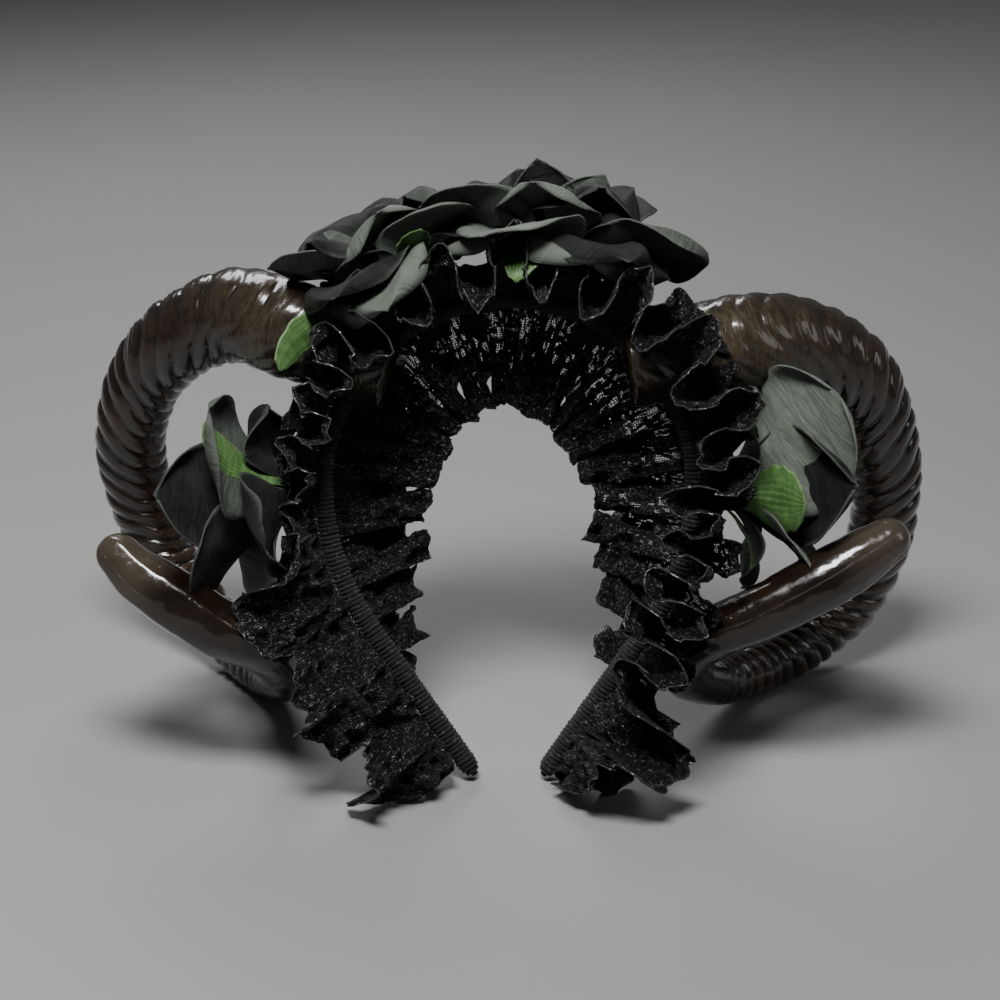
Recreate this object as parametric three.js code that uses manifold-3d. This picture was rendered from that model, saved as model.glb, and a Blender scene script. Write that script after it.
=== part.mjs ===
// Headband with a pair of ram horns, a gathered lace ruffle on each edge, and four cloth roses with green
// leaves. Millimetres and degrees. In the band's own frame X runs from the wearer's right to left, Y from front
// to back and Z from foot to crown. The finished headband leans back on its horns, with +Z up and the floor at
// Z = 0.
import * as THREE from "three";
import { mergeVertices } from "three/addons/utils/BufferGeometryUtils.js";
import Module from "manifold-3d";

const wasm = await Module();
wasm.setup();

// Driving sizes
const gap = 0.3; // clearance between pieces that touch
const lean = 17; // how far the standing headband leans back
const bandHeight = 157;
const bandTopRadius = 60;
const bandSideRadius = 80;
const bandFootOut = 9.74; // from the middle of the head to the middle of each foot
const bandThick = 6.5; // from the head outwards
const bandWide = 9; // from front to back
const hornReach = 132; // sideways from the middle of the head
const hornDepth = 80; // back from the band's plane
const hornRise = 140; // above the band's feet
const hornGirth = 34; // thickest diameter
const hornRidges = 20;
const hornRidgeDepth = 1.2;
const hornSmoothTip = 0.3; // share of the horn, at its tip, that has no ridges
const hornWall = 2; // the horns are hollow shells
const hornHollow = 0.86; // share of the horn that is hollow
const hornFlat = 0.93; // the horns' section is a little flatter one way
const ruffleWidth = 42;
const ruffleThick = 1.2;
const ruffleLoop = 2; // how far each flute bulges along the band
const ruffleUneven = 0.16; // how much the spacing of the flutes varies, in flutes
const petalLength = 44;
const petalWidth = 34;
const petalThick = 1;
const petalFoot = 0.14; // share of a petal's width at its foot
const petalCup = 0.3; // how deep its blade is cupped, as a share of half its width
const outerDiscRadius = 6; // discs that join a ring of petals
const innerDiscRadius = 4.6;
const discHigh = 2.6;
const stemRadius = 2.2;
const cupHigh = 4;
const budRadius = 4.4;
const budHeight = 18;
const innerAlong = 3; // faces along an inner petal or a sepal
const outerAlong = 4; // faces along an outer petal

// Centre line of each horn from base to tip. out, back and up are shares of hornReach, hornDepth and
// hornRise, and girth is a share of hornGirth.
const hornStations = {
  left: [
    { out: 0.28, back: 0.01, up: 0.93, girth: 0.76 },
    { out: 0.55, back: 0.1, up: 0.98, girth: 0.94 },
    { out: 0.71, back: 0.25, up: 0.98, girth: 0.9 },
    { out: 0.87, back: 0.42, up: 0.91, girth: 0.82 },
    { out: 0.96, back: 0.62, up: 0.77, girth: 0.77 },
    { out: 1, back: 0.8, up: 0.61, girth: 0.74 },
    { out: 0.99, back: 0.91, up: 0.45, girth: 0.69 },
    { out: 0.92, back: 0.95, up: 0.3, girth: 0.63 },
    { out: 0.8, back: 0.88, up: 0.21, girth: 0.57 },
    { out: 0.65, back: 0.68, up: 0.16, girth: 0.52 },
    { out: 0.51, back: 0.4, up: 0.16, girth: 0.49 },
    { out: 0.43, back: 0.12, up: 0.23, girth: 0.47 },
    { out: 0.49, back: -0.04, up: 0.31, girth: 0.47 },
    { out: 0.61, back: -0.11, up: 0.37, girth: 0.51 },
    { out: 0.74, back: -0.15, up: 0.44, girth: 0.53 },
    { out: 0.86, back: -0.15, up: 0.51, girth: 0.49 },
    { out: 0.91, back: -0.14, up: 0.54, girth: 0.38 },
  ],
  right: [
    { out: 0.28, back: 0.01, up: 0.94, girth: 0.76 },
    { out: 0.54, back: 0.12, up: 1.03, girth: 0.94 },
    { out: 0.68, back: 0.28, up: 1.06, girth: 0.9 },
    { out: 0.84, back: 0.45, up: 1.0, girth: 0.83 },
    { out: 0.95, back: 0.65, up: 0.89, girth: 0.77 },
    { out: 1, back: 0.8, up: 0.75, girth: 0.74 },
    { out: 0.99, back: 0.93, up: 0.6, girth: 0.71 },
    { out: 0.94, back: 0.99, up: 0.46, girth: 0.64 },
    { out: 0.84, back: 0.96, up: 0.33, girth: 0.57 },
    { out: 0.73, back: 0.86, up: 0.21, girth: 0.52 },
    { out: 0.61, back: 0.56, up: 0.17, girth: 0.49 },
    { out: 0.56, back: 0.14, up: 0.23, girth: 0.47 },
    { out: 0.6, back: -0.05, up: 0.3, girth: 0.47 },
    { out: 0.71, back: -0.15, up: 0.36, girth: 0.51 },
    { out: 0.82, back: -0.17, up: 0.43, girth: 0.53 },
    { out: 0.9, back: -0.16, up: 0.48, girth: 0.49 },
    { out: 0.94, back: -0.15, up: 0.52, girth: 0.38 },
  ],
};

// Ruffles. at is the share of the band from its right foot, flare the angle that the lace leans from straight
// forward (or back) towards the outside, swing how far each flute turns either way from that, and width a
// share of ruffleWidth. seat is where the gathered edge sits round the band's section, 0 at its outer face.
const ruffles = {
  front: {
    facing: 1, flutes: 21, from: 0.025, to: 0.985, seat: 45,
    rows: [
      { at: 0, flare: 44, swing: 8, width: 0.8 },
      { at: 0.07, flare: 52, swing: 10, width: 1 },
      { at: 0.16, flare: 57, swing: 10, width: 0.98 },
      { at: 0.24, flare: 36, swing: 12, width: 0.6 },
      { at: 0.31, flare: 16, swing: 16, width: 0.74 },
      { at: 0.4, flare: 8, swing: 22, width: 0.78 },
      { at: 0.52, flare: 6, swing: 22, width: 0.76 },
      { at: 0.6, flare: 24, swing: 22, width: 0.9 },
      { at: 0.68, flare: 26, swing: 18, width: 0.86 },
      { at: 0.76, flare: -24, swing: 16, width: 0.76 },
      { at: 0.86, flare: -14, swing: 16, width: 0.72 },
      { at: 0.92, flare: 44, swing: 14, width: 0.9 },
      { at: 1, flare: 38, swing: 10, width: 0.98 },
    ],
  },
  back: {
    facing: -1, flutes: 17, from: 0.1, to: 0.9, seat: 60,
    rows: [
      { at: 0, flare: -10, swing: 8, width: 0.4 },
      { at: 0.12, flare: -30, swing: 10, width: 0.5 },
      { at: 0.2, flare: -60, swing: 12, width: 0.8 },
      { at: 0.32, flare: -68, swing: 12, width: 0.96 },
      { at: 0.5, flare: -64, swing: 14, width: 0.9 },
      { at: 0.66, flare: -68, swing: 12, width: 1 },
      { at: 0.78, flare: -60, swing: 12, width: 0.82 },
      { at: 0.88, flare: -30, swing: 10, width: 0.5 },
      { at: 1, flare: -10, swing: 8, width: 0.4 },
    ],
  },
};

// Roses. at is the share of the band from its right foot and lift the height of the hub above its face. ahead
// and along tip the flower forwards and towards the left foot. In a petal or sepal row turn goes round the
// flower from its front, open is the angle from the flower's middle line, long and wide are shares of a
// petal's size, and curl and twist turn the blade towards its tip.
const roses = {
  crown_right: {
    at: 0.42, lift: 6, ahead: 0.1, along: 0.1,
    inner: [
      { turn: 20, open: 16, long: 0.5, wide: 0.52, curl: 14 },
      { turn: 140, open: 14, long: 0.58, wide: 0.52, curl: 12 },
      { turn: 260, open: 16, long: 0.6, wide: 0.52, curl: 16 },
    ],
    outer: [
      { turn: 335, open: 58, long: 0.68, wide: 0.9, curl: 30 },
      { turn: 270, open: 50, long: 0.86, wide: 0.74, curl: 6, twist: 24 },
      { turn: 205, open: 40, long: 0.84, wide: 0.84, curl: 16 },
      { turn: 135, open: 42, long: 0.82, wide: 0.84, curl: 20 },
      { turn: 68, open: 54, long: 0.78, wide: 0.7, curl: 20, twist: -20 },
    ],
    sepals: [
      { turn: 304, open: 98, long: 1.08, wide: 0.36, curl: 10, twist: 76 },
      { turn: 62, open: 66, long: 0.6, wide: 0.3, curl: -10, twist: -60 },
    ],
  },
  crown_left: {
    at: 0.53, lift: 6, ahead: 0.12, along: -0.05,
    inner: [
      { turn: 290, open: 13, long: 0.7, wide: 0.52, curl: 6 },
      { turn: 85, open: 15, long: 0.66, wide: 0.52, curl: 8 },
      { turn: 180, open: 16, long: 0.6, wide: 0.52, curl: 12 },
    ],
    outer: [
      { turn: 326, open: 66, long: 0.84, wide: 0.94, curl: 16, twist: 16 },
      { turn: 276, open: 78, long: 0.98, wide: 0.8, curl: 8, twist: 36 },
      { turn: 222, open: 54, long: 0.86, wide: 0.92, curl: 20 },
      { turn: 140, open: 50, long: 0.88, wide: 0.92, curl: 20 },
      { turn: 82, open: 84, long: 1.06, wide: 0.66, curl: 8, twist: -36 },
      { turn: 32, open: 62, long: 0.74, wide: 0.9, curl: 26 },
    ],
    sepals: [
      { turn: 318, open: 96, long: 0.56, wide: 0.42, curl: 60, twist: 20 },
      { turn: 60, open: 92, long: 0.5, wide: 0.34, curl: 30, twist: -30 },
    ],
  },
  side_right: {
    at: 0.262, lift: 6, ahead: -0.05, along: 0.02,
    inner: [
      { turn: 350, open: 14, long: 0.6, wide: 0.52, curl: 10 },
      { turn: 110, open: 14, long: 0.62, wide: 0.52, curl: 10 },
      { turn: 235, open: 14, long: 0.6, wide: 0.52, curl: 10 },
    ],
    outer: [
      { turn: 54, open: 52, long: 0.92, wide: 1, curl: 30 },
      { turn: 8, open: 34, long: 1.04, wide: 0.84, curl: 14 },
      { turn: 308, open: 50, long: 0.98, wide: 0.8, curl: 10 },
      { turn: 258, open: 80, long: 0.86, wide: 0.44, curl: 6, twist: -50 },
      { turn: 165, open: 42, long: 0.9, wide: 0.9, curl: 16 },
    ],
    sepals: [
      { turn: 30, open: 56, long: 0.7, wide: 0.34, curl: 30 },
      { turn: 160, open: 70, long: 0.6, wide: 0.34, curl: 10 },
    ],
  },
  side_left: {
    at: 0.735, lift: 6, ahead: -0.05, along: -0.12,
    inner: [
      { turn: 30, open: 14, long: 0.6, wide: 0.52, curl: 10 },
      { turn: 150, open: 14, long: 0.62, wide: 0.52, curl: 10 },
      { turn: 270, open: 14, long: 0.6, wide: 0.52, curl: 10 },
    ],
    outer: [
      { turn: 308, open: 46, long: 1.08, wide: 0.98, curl: 12 },
      { turn: 0, open: 28, long: 0.86, wide: 0.76, curl: 20 },
      { turn: 66, open: 52, long: 1.0, wide: 0.5, curl: 6, twist: 30 },
      { turn: 128, open: 50, long: 0.9, wide: 0.84, curl: 16 },
      { turn: 218, open: 44, long: 0.9, wide: 0.9, curl: 16 },
    ],
    sepals: [
      { turn: 12, open: 50, long: 0.68, wide: 0.7, curl: -20 },
      { turn: 100, open: 78, long: 0.6, wide: 0.34, curl: 10 },
    ],
  },
};

const radians = THREE.MathUtils.degToRad;
const vec = (x, y, z) => new THREE.Vector3(x, y, z);
const forward = vec(0, -1, 0);
const floorUp = vec(0, -Math.sin(radians(lean)), Math.cos(radians(lean)));

// A closed geometry as a solid that can be cut and joined, and back.
function solidFrom(geometry) {
  const bare = geometry.clone();
  bare.deleteAttribute("normal");
  bare.deleteAttribute("uv");
  const merged = mergeVertices(bare, 1e-4);
  return new wasm.Manifold(
    new wasm.Mesh({
      numProp: 3,
      vertProperties: merged.attributes.position.array,
      triVerts: new Uint32Array(merged.index.array),
    }),
  );
}
function geometryFrom(solid) {
  const made = solid.getMesh();
  return new THREE.BufferGeometry()
    .setAttribute("position", new THREE.BufferAttribute(made.vertProperties, 3))
    .setIndex(new THREE.BufferAttribute(made.triVerts, 1));
}
const joined = (solids) => solids.reduce((total, solid) => total.add(solid));
const cleared = (solid, others) => others.reduce((left, other) => left.subtract(other), solid);
const largestBody = (solid) => solid.decompose().sort((a, b) => b.volume() - a.volume())[0];

// Height of a solid's lowest corner above the floor
function lowestOf(solid) {
  const corners = new THREE.BufferAttribute(solid.getMesh().vertProperties, 3);
  let lowest = Infinity;
  for (let i = 0; i < corners.count; i++)
    lowest = Math.min(lowest, vec(0, 0, 0).fromBufferAttribute(corners, i).dot(floorUp));
  return lowest;
}

// A closed geometry from points and triangles.
function closedGeometry(points, faces) {
  return new THREE.BufferGeometry()
    .setAttribute("position", new THREE.Float32BufferAttribute(points.flatMap((p) => [p.x, p.y, p.z]), 3))
    .setIndex(faces);
}

// A solid lofted through rings of equally many points, closed by a fan at each end.
function loftGeometry(rings) {
  const sides = rings[0].length;
  const faces = [];
  for (let i = 0; i < rings.length - 1; i++)
    for (let k = 0; k < sides; k++) {
      const [a, b] = [i * sides + k, i * sides + ((k + 1) % sides)];
      faces.push(a, b, b + sides, a, b + sides, a + sides);
    }
  const last = (rings.length - 1) * sides;
  for (let k = 1; k < sides - 1; k++) faces.push(0, k + 1, k, last, last + k, last + k + 1);
  return closedGeometry(rings.flat(), faces);
}

// A wall of even thickness on both sides of a surface given as a function of two shares, along and across.
function wallGeometry(surface, along, across, thick) {
  const step = 1e-3;
  const outer = [];
  const inner = [];
  for (let i = 0; i <= along; i++)
    for (let j = 0; j <= across; j++) {
      const [u, v] = [i / along, j / across];
      const [u0, v0] = [Math.min(u, 1 - step), Math.min(v, 1 - step)];
      const here = surface(u0, v0);
      const normal = surface(u0 + step, v0).sub(here).cross(surface(u0, v0 + step).sub(here)).normalize();
      outer.push(surface(u, v).addScaledVector(normal, thick / 2));
      inner.push(surface(u, v).addScaledVector(normal, -thick / 2));
    }
  const row = across + 1;
  const under = outer.length;
  const faces = [];
  for (let i = 0; i < along; i++)
    for (let j = 0; j < across; j++) {
      const a = i * row + j;
      faces.push(a, a + row, a + row + 1, a, a + row + 1, a + 1);
      const b = under + a;
      faces.push(b, b + row + 1, b + row, b, b + 1, b + row + 1);
    }
  const rim = [];
  for (let j = 0; j < across; j++) rim.push(j);
  for (let i = 0; i < along; i++) rim.push(i * row + across);
  for (let j = across; j > 0; j--) rim.push(along * row + j);
  for (let i = along; i > 0; i--) rim.push(i * row);
  rim.forEach((a, k) => {
    const b = rim[(k + 1) % rim.length];
    faces.push(a, b, under + b, a, under + b, under + a);
  });
  return closedGeometry([...outer, ...inner], faces);
}

// The columns of a table at a place between two of its rows; the column "at" holds the rows' places.
function rowAt(rows, place) {
  const next = THREE.MathUtils.clamp(rows.findIndex((row) => row.at > place), 1, rows.length - 1);
  const [a, b] = [rows[next - 1], rows[next]];
  const share = THREE.MathUtils.smoothstep(place, a.at, b.at);
  return Object.fromEntries(Object.keys(a).map((key) => [key, a[key] + (b[key] - a[key]) * share]));
}

// Lengths along half of the band: straight leg, wide curve to the widest place, then a quarter circle. The leg
// turns in by the angle that brings its foot to its place.
const widest = bandHeight - bandTopRadius;
const legAside = bandSideRadius + bandFootOut - bandTopRadius;
const legAngle = Math.atan2(widest, legAside) - Math.acos(bandSideRadius / Math.hypot(legAside, widest));
const bandLegTurn = THREE.MathUtils.radToDeg(legAngle);
const legLength = (widest - bandSideRadius * Math.sin(radians(bandLegTurn))) / Math.cos(radians(bandLegTurn));
const curveLength = bandSideRadius * radians(bandLegTurn);
const halfBand = legLength + curveLength + (bandTopRadius * Math.PI) / 2;
const curveOut = (turn) => bandTopRadius - bandSideRadius * (1 - Math.cos(radians(turn)));

// Centre line of the band: point, outward normal and direction of travel at a share of its length.
function bandAt(share) {
  const side = share < 0.5 ? -1 : 1;
  const run = 2 * halfBand * (share < 0.5 ? share : 1 - share);
  let [x, z, turn] = [0, 0, 0];
  if (run < legLength) {
    turn = -bandLegTurn;
    x = bandFootOut + run * Math.sin(radians(bandLegTurn));
    z = run * Math.cos(radians(bandLegTurn));
  } else if (run < legLength + curveLength) {
    turn = -bandLegTurn * (1 - (run - legLength) / curveLength);
    x = curveOut(turn);
    z = widest + bandSideRadius * Math.sin(radians(turn));
  } else {
    turn = (90 * (run - legLength - curveLength)) / (halfBand - legLength - curveLength);
    x = bandTopRadius * Math.cos(radians(turn));
    z = widest + bandTopRadius * Math.sin(radians(turn));
  }
  const out = vec(side * Math.cos(radians(turn)), 0, Math.sin(radians(turn)));
  return { point: vec(side * x, 0, z), out, along: vec(out.z, 0, -out.x) };
}

// Place on the band's oval section, grown by some distance. Angle 0 faces outwards and 90 forwards.
function onSection({ point, out }, angle, grow) {
  return point.clone()
    .addScaledVector(out, (bandThick / 2 + grow) * Math.cos(radians(angle)))
    .addScaledVector(forward, (bandWide / 2 + grow) * Math.sin(radians(angle)));
}

// Wrapped band, cut level with the floor at both feet.
function bandSolid(grow) {
  const [sides, steps, overrun] = [8, 44, 12];
  const rings = [];
  for (let i = 0; i <= steps; i++) {
    const place = bandAt(i / steps);
    if (i === 0) place.point.addScaledVector(place.along, -overrun);
    if (i === steps) place.point.addScaledVector(place.along, overrun);
    rings.push(Array.from({ length: sides }, (_, k) => onSection(place, (360 * k) / sides, grow)));
  }
  return solidFrom(loftGeometry(rings)).trimByPlane(floorUp.toArray(), 0);
}

// The room inside the band's outer face and a clearance round it. The horns are seated there.
function headRoom(clearance) {
  const [steps, reach] = [64, hornGirth];
  const outline = new THREE.Shape(Array.from({ length: steps + 1 }, (_, i) => {
    const face = onSection(bandAt(i / steps), 0, clearance);
    return new THREE.Vector2(face.x, face.z);
  }));
  const room = new THREE.ExtrudeGeometry(outline, { depth: 2 * reach, bevelEnabled: false });
  return solidFrom(room.translate(0, 0, -reach).rotateX(Math.PI / 2));
}

// Centre line of a horn and its radius at a share of its length.
function hornLine(side, stations, drop) {
  const path = new THREE.CatmullRomCurve3(
    stations.map((row) => vec(side * row.out * hornReach, row.back * hornDepth, row.up * hornRise - drop)),
    false,
    "centripetal",
  );
  const radiusAt = (share) => {
    const place = path.getUtoTmapping(share) * (stations.length - 1);
    const row = Math.min(Math.floor(place), stations.length - 2);
    return (hornGirth / 2) * THREE.MathUtils.lerp(stations[row].girth, stations[row + 1].girth, place - row);
  };
  return { path, radiusAt };
}

// A solid of round rings along a path. Each place has a share of the path, a radius and a step ahead of it.
function roundSolid(path, places, sides) {
  let normal = vec(0, 0, 1);
  const rings = places.map(({ share, radius, ahead = 0 }) => {
    const tangent = path.getTangentAt(share);
    normal = normal.clone().addScaledVector(tangent, -normal.dot(tangent)).normalize();
    const other = tangent.clone().cross(normal);
    const centre = path.getPointAt(share).addScaledVector(tangent, ahead);
    return Array.from({ length: sides }, (_, k) =>
      centre.clone()
        .addScaledVector(normal, radius * Math.cos((2 * Math.PI * k) / sides))
        .addScaledVector(other, radius * hornFlat * Math.sin((2 * Math.PI * k) / sides)));
  });
  return solidFrom(loftGeometry(rings));
}

// Outside of a ram horn: ridges that crowd together as the horn thins, then a smooth blunt tip.
function hornSolid({ path, radiusAt }, grow) {
  const [samples, tipSteps] = [400, 6];
  const ridged = 1 - hornSmoothTip;
  let total = 0;
  const crowding = Array.from({ length: samples + 1 }, (_, i) => {
    total += i ? 1 / radiusAt((ridged * i) / samples) : 0;
    return total;
  });
  const places = [];
  for (let k = 0; k <= 2 * hornRidges; k++) {
    const reached = crowding.findIndex((sum) => sum >= (total * k) / (2 * hornRidges) - 1e-9);
    const share = (ridged * reached) / samples;
    places.push({ share, radius: radiusAt(share) - (k % 2 === 0 ? hornRidgeDepth : 0) + grow });
  }
  for (let k = 1; k <= tipSteps; k++) {
    const share = ridged + (hornSmoothTip * k) / tipSteps;
    places.push({ share, radius: radiusAt(share) + grow });
  }
  const blunt = radiusAt(1) + grow;
  places.push({ share: 1, radius: 0.8 * blunt, ahead: 0.55 * blunt });
  places.push({ share: 1, radius: 0.4 * blunt, ahead: 0.9 * blunt });
  return roundSolid(path, places, 10);
}

// Room inside a hollow horn, open at its base
function hornRoom({ path, radiusAt }) {
  const steps = 30;
  const places = Array.from({ length: steps + 1 }, (_, i) => {
    const share = (hornHollow * i) / steps;
    return { share, radius: radiusAt(share) - hornRidgeDepth - hornWall };
  });
  return roundSolid(path, places, 8);
}

// Gathered lace: flutes that open out from the gathered edge, lifted where the floor holds them up.
function ruffleSolid({ facing, flutes, from, to, seat, rows }, grow) {
  const [stepsPerFlute, across] = [6, 2];
  const surface = (run, share) => {
    const at = from + (to - from) * run;
    const place = bandAt(at);
    const { flare, swing, width } = rowAt(rows, at);
    const drift = ruffleUneven * (Math.sin(6 * Math.PI * run) + Math.sin(7 * Math.PI * run));
    const phase = 2 * Math.PI * (flutes * run + drift);
    const lay = radians(flare + swing * Math.sin(phase) * Math.sqrt(share));
    const length = width * ruffleWidth * share;
    const loose = onSection(place, facing * seat, gap + ruffleThick / 2)
      .addScaledVector(forward, facing * length * Math.cos(lay))
      .addScaledVector(place.out, length * Math.sin(lay))
      .addScaledVector(place.along, -ruffleLoop * share * Math.sin(2 * phase));
    const sunk = ruffleThick / 2 + gap - loose.dot(floorUp);
    return sunk > 0 ? loose.addScaledVector(floorUp, sunk) : loose;
  };
  return solidFrom(wallGeometry(surface, stepsPerFlute * flutes, across, ruffleThick + 2 * grow));
}

// The place and directions of a rose: hub, middle line, and two directions across it.
function roseFrame({ at, lift, ahead, along }) {
  const place = bandAt(at);
  const axis = place.out.clone()
    .addScaledVector(forward, ahead)
    .addScaledVector(place.along, along)
    .normalize();
  const front = forward.clone().addScaledVector(axis, -forward.dot(axis)).normalize();
  const hub = place.point.clone().addScaledVector(axis, bandThick / 2 + lift);
  return { hub, axis, front, side: axis.clone().cross(front), seat: place.point };
}

// One petal: a narrow foot, a cupped blade and a tip that curls away from the flower's middle.
function petalSolid(frame, row, foot, radius, along, grow) {
  const [steps, across] = [12, 2];
  const { turn, open, long, wide, curl, twist = 0 } = row;
  const radial = frame.front.clone().multiplyScalar(Math.cos(radians(turn)))
    .addScaledVector(frame.side, Math.sin(radians(turn)));
  const sideways = frame.axis.clone().cross(radial);
  const length = long * petalLength + grow;
  const half = (wide * petalWidth) / 2 + grow;
  const bendAt = (u) => radians(open * (0.55 + 0.65 * u) + curl * u ** 3);
  const surface = (u, v) => {
    const point = frame.hub.clone().addScaledVector(frame.axis, foot).addScaledVector(radial, radius - 1);
    for (let k = 0; k < steps; k++) {
      const bend = bendAt((u * (k + 0.5)) / steps);
      point.addScaledVector(radial, (length * u * Math.sin(bend)) / steps);
      point.addScaledVector(frame.axis, (length * u * Math.cos(bend)) / steps);
    }
    const inward = frame.axis.clone().multiplyScalar(Math.sin(bendAt(u)))
      .addScaledVector(radial, -Math.cos(bendAt(u)));
    const turned = radians(twist) * Math.min(1, 2 * u);
    const blade = petalFoot + (1 - petalFoot) * THREE.MathUtils.smoothstep(u, 0, 0.72);
    const spread = half * blade * Math.sqrt(1 - 0.96 * u ** 7);
    const aside = 2 * v - 1;
    const cup = petalCup * (1 - 0.7 * u * u) * aside * aside;
    return point
      .addScaledVector(sideways, spread * (aside * Math.cos(turned) - cup * Math.sin(turned)))
      .addScaledVector(inward, spread * (aside * Math.sin(turned) + cup * Math.cos(turned)));
  };
  return solidFrom(wallGeometry(surface, along, across, petalThick + 2 * grow));
}

// A piece turned about a rose's middle line, from a profile of radius and height, grown by some distance.
function turnedSolid(frame, profile, sides, grow) {
  const middleHeight = (profile[0][1] + profile.at(-1)[1]) / 2;
  const points = profile.map(([radius, height]) =>
    new THREE.Vector2(radius && radius + grow, height + grow * Math.sign(height - middleHeight)));
  const turn = new THREE.Matrix4().makeBasis(frame.side, frame.axis, frame.side.clone().cross(frame.axis));
  return solidFrom(new THREE.LatheGeometry(points, sides).applyMatrix4(turn.setPosition(frame.hub)));
}

// Ring of petals fused to a small disc
function whorlSolid(frame, rows, foot, radius, along, grow) {
  const top = foot + discHigh;
  const disc = turnedSolid(frame, [[0, foot], [radius, foot], [radius, top], [0, top]], 6, grow);
  const petals = rows.map((row) => petalSolid(frame, row, foot + discHigh / 2, radius, along, grow));
  return joined([disc, ...petals]);
}

// Tight bud in the middle of a rose
function budSolid(frame, foot, grow) {
  const profile = [[0, 0], [0.5, 0], [0.85, 0.3], [1, 0.55], [0.6, 0.85], [0, 1]];
  const sized = profile.map(([wide, high]) => [wide * budRadius, foot + high * budHeight]);
  return turnedSolid(frame, sized, 7, grow);
}

// Green calyx: a stem standing on the band, a cup under the petals, and leafy sepals
function calyxSolid(frame, lift, sepals, grow) {
  const profile = [
    [0, -lift - bandThick / 2],
    [stemRadius, -lift - bandThick / 2],
    [stemRadius, -cupHigh],
    [outerDiscRadius, -2 * gap - petalThick],
    [outerDiscRadius, -gap],
    [0, -gap],
  ];
  const leafAt = (row) => petalSolid(frame, row, -gap - petalThick, outerDiscRadius, innerAlong, grow);
  const leaves = sepals.map(leafAt);
  return joined([turnedSolid(frame, profile, 6, grow), ...leaves]);
}

const part = new THREE.Group();
const standing = new THREE.Group(); // everything in the band's frame, leaned back
standing.rotation.x = -radians(lean);
part.add(standing);

const finishes = {
  wrap: { color: 0x26262a, roughness: 0.8, metalness: 0 },
  horn: { color: 0x2c1e17, roughness: 0.2, metalness: 0 },
  lace: { color: 0x0c0c0e, roughness: 0.7, metalness: 0 },
  outer_petals: { color: 0x23272a, roughness: 0.75, metalness: 0 },
  inner_petals: { color: 0x1d2022, roughness: 0.75, metalness: 0 },
  bud: { color: 0x1a1c1e, roughness: 0.75, metalness: 0 },
  calyx: { color: 0x3f7d2c, roughness: 0.5, metalness: 0 },
};
function addPiece(name, solid, finish) {
  const mesh = new THREE.Mesh(geometryFrom(solid), new THREE.MeshStandardMaterial(finishes[finish]));
  mesh.name = name;
  standing.add(mesh);
}

// Each piece keeps clear of all that were placed before it. make builds it, grown by some distance, and
// hollow is cut out of it as well.
const rooms = [];
function place(name, finish, make, hollow = []) {
  addPiece(name, largestBody(cleared(make(0), [...rooms, ...hollow])), finish);
  rooms.push(make(gap));
}

place("headband", "wrap", bandSolid);
for (const [name, side] of [["right", -1], ["left", 1]]) {
  const drop = lowestOf(hornSolid(hornLine(side, hornStations[name], 0), 0)) / floorUp.z;
  const line = hornLine(side, hornStations[name], drop);
  const seated = (grow) => cleared(hornSolid(line, grow), [headRoom(gap - grow)]);
  place(`horn_${name}`, "horn", seated, [hornRoom(line)]);
}
for (const [name, { inner, outer, sepals, ...seat }] of Object.entries(roses)) {
  const frame = roseFrame(seat);
  const innerFoot = discHigh + gap;
  const budFoot = innerFoot + discHigh + gap;
  const outerRing = (grow) => whorlSolid(frame, outer, 0, outerDiscRadius, outerAlong, grow);
  const innerRing = (grow) => whorlSolid(frame, inner, innerFoot, innerDiscRadius, innerAlong, grow);
  place(`rose_${name}_outer_petals`, "outer_petals", outerRing);
  place(`rose_${name}_inner_petals`, "inner_petals", innerRing);
  place(`rose_${name}_bud`, "bud", (grow) => budSolid(frame, budFoot, grow));
  place(`rose_${name}_calyx`, "calyx", (grow) => calyxSolid(frame, seat.lift, sepals, grow));
}
for (const [name, ruffle] of Object.entries(ruffles))
  place(`ruffle_${name}`, "lace", (grow) => ruffleSolid(ruffle, grow));

// The origin is the middle of the footprint, on the floor
part.updateMatrixWorld(true);
const reach = new THREE.Box3().setFromObject(part, true);
const middle = reach.getCenter(vec(0, 0, 0));
standing.position.set(-middle.x, -middle.y, -reach.min.z);

export default part;
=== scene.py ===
import math

import bpy
import numpy as np
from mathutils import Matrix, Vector, noise


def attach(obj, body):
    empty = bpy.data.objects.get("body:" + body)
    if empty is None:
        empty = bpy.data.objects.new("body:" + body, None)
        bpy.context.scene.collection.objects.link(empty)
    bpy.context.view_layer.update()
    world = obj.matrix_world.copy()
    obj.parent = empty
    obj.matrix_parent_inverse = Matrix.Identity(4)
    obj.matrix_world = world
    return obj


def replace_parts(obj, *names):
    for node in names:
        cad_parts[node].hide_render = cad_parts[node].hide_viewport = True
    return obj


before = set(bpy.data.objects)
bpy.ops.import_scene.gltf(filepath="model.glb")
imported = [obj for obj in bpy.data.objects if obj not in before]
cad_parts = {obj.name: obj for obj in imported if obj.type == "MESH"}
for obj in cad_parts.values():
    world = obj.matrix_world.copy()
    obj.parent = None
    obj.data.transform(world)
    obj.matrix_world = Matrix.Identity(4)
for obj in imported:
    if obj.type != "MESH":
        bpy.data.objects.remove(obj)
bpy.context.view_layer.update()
print("frame loaded:", len(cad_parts), "nodes")

pi = math.pi
sin, cos, radians = np.sin, np.cos, np.radians


# shader and geometry wiring

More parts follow.
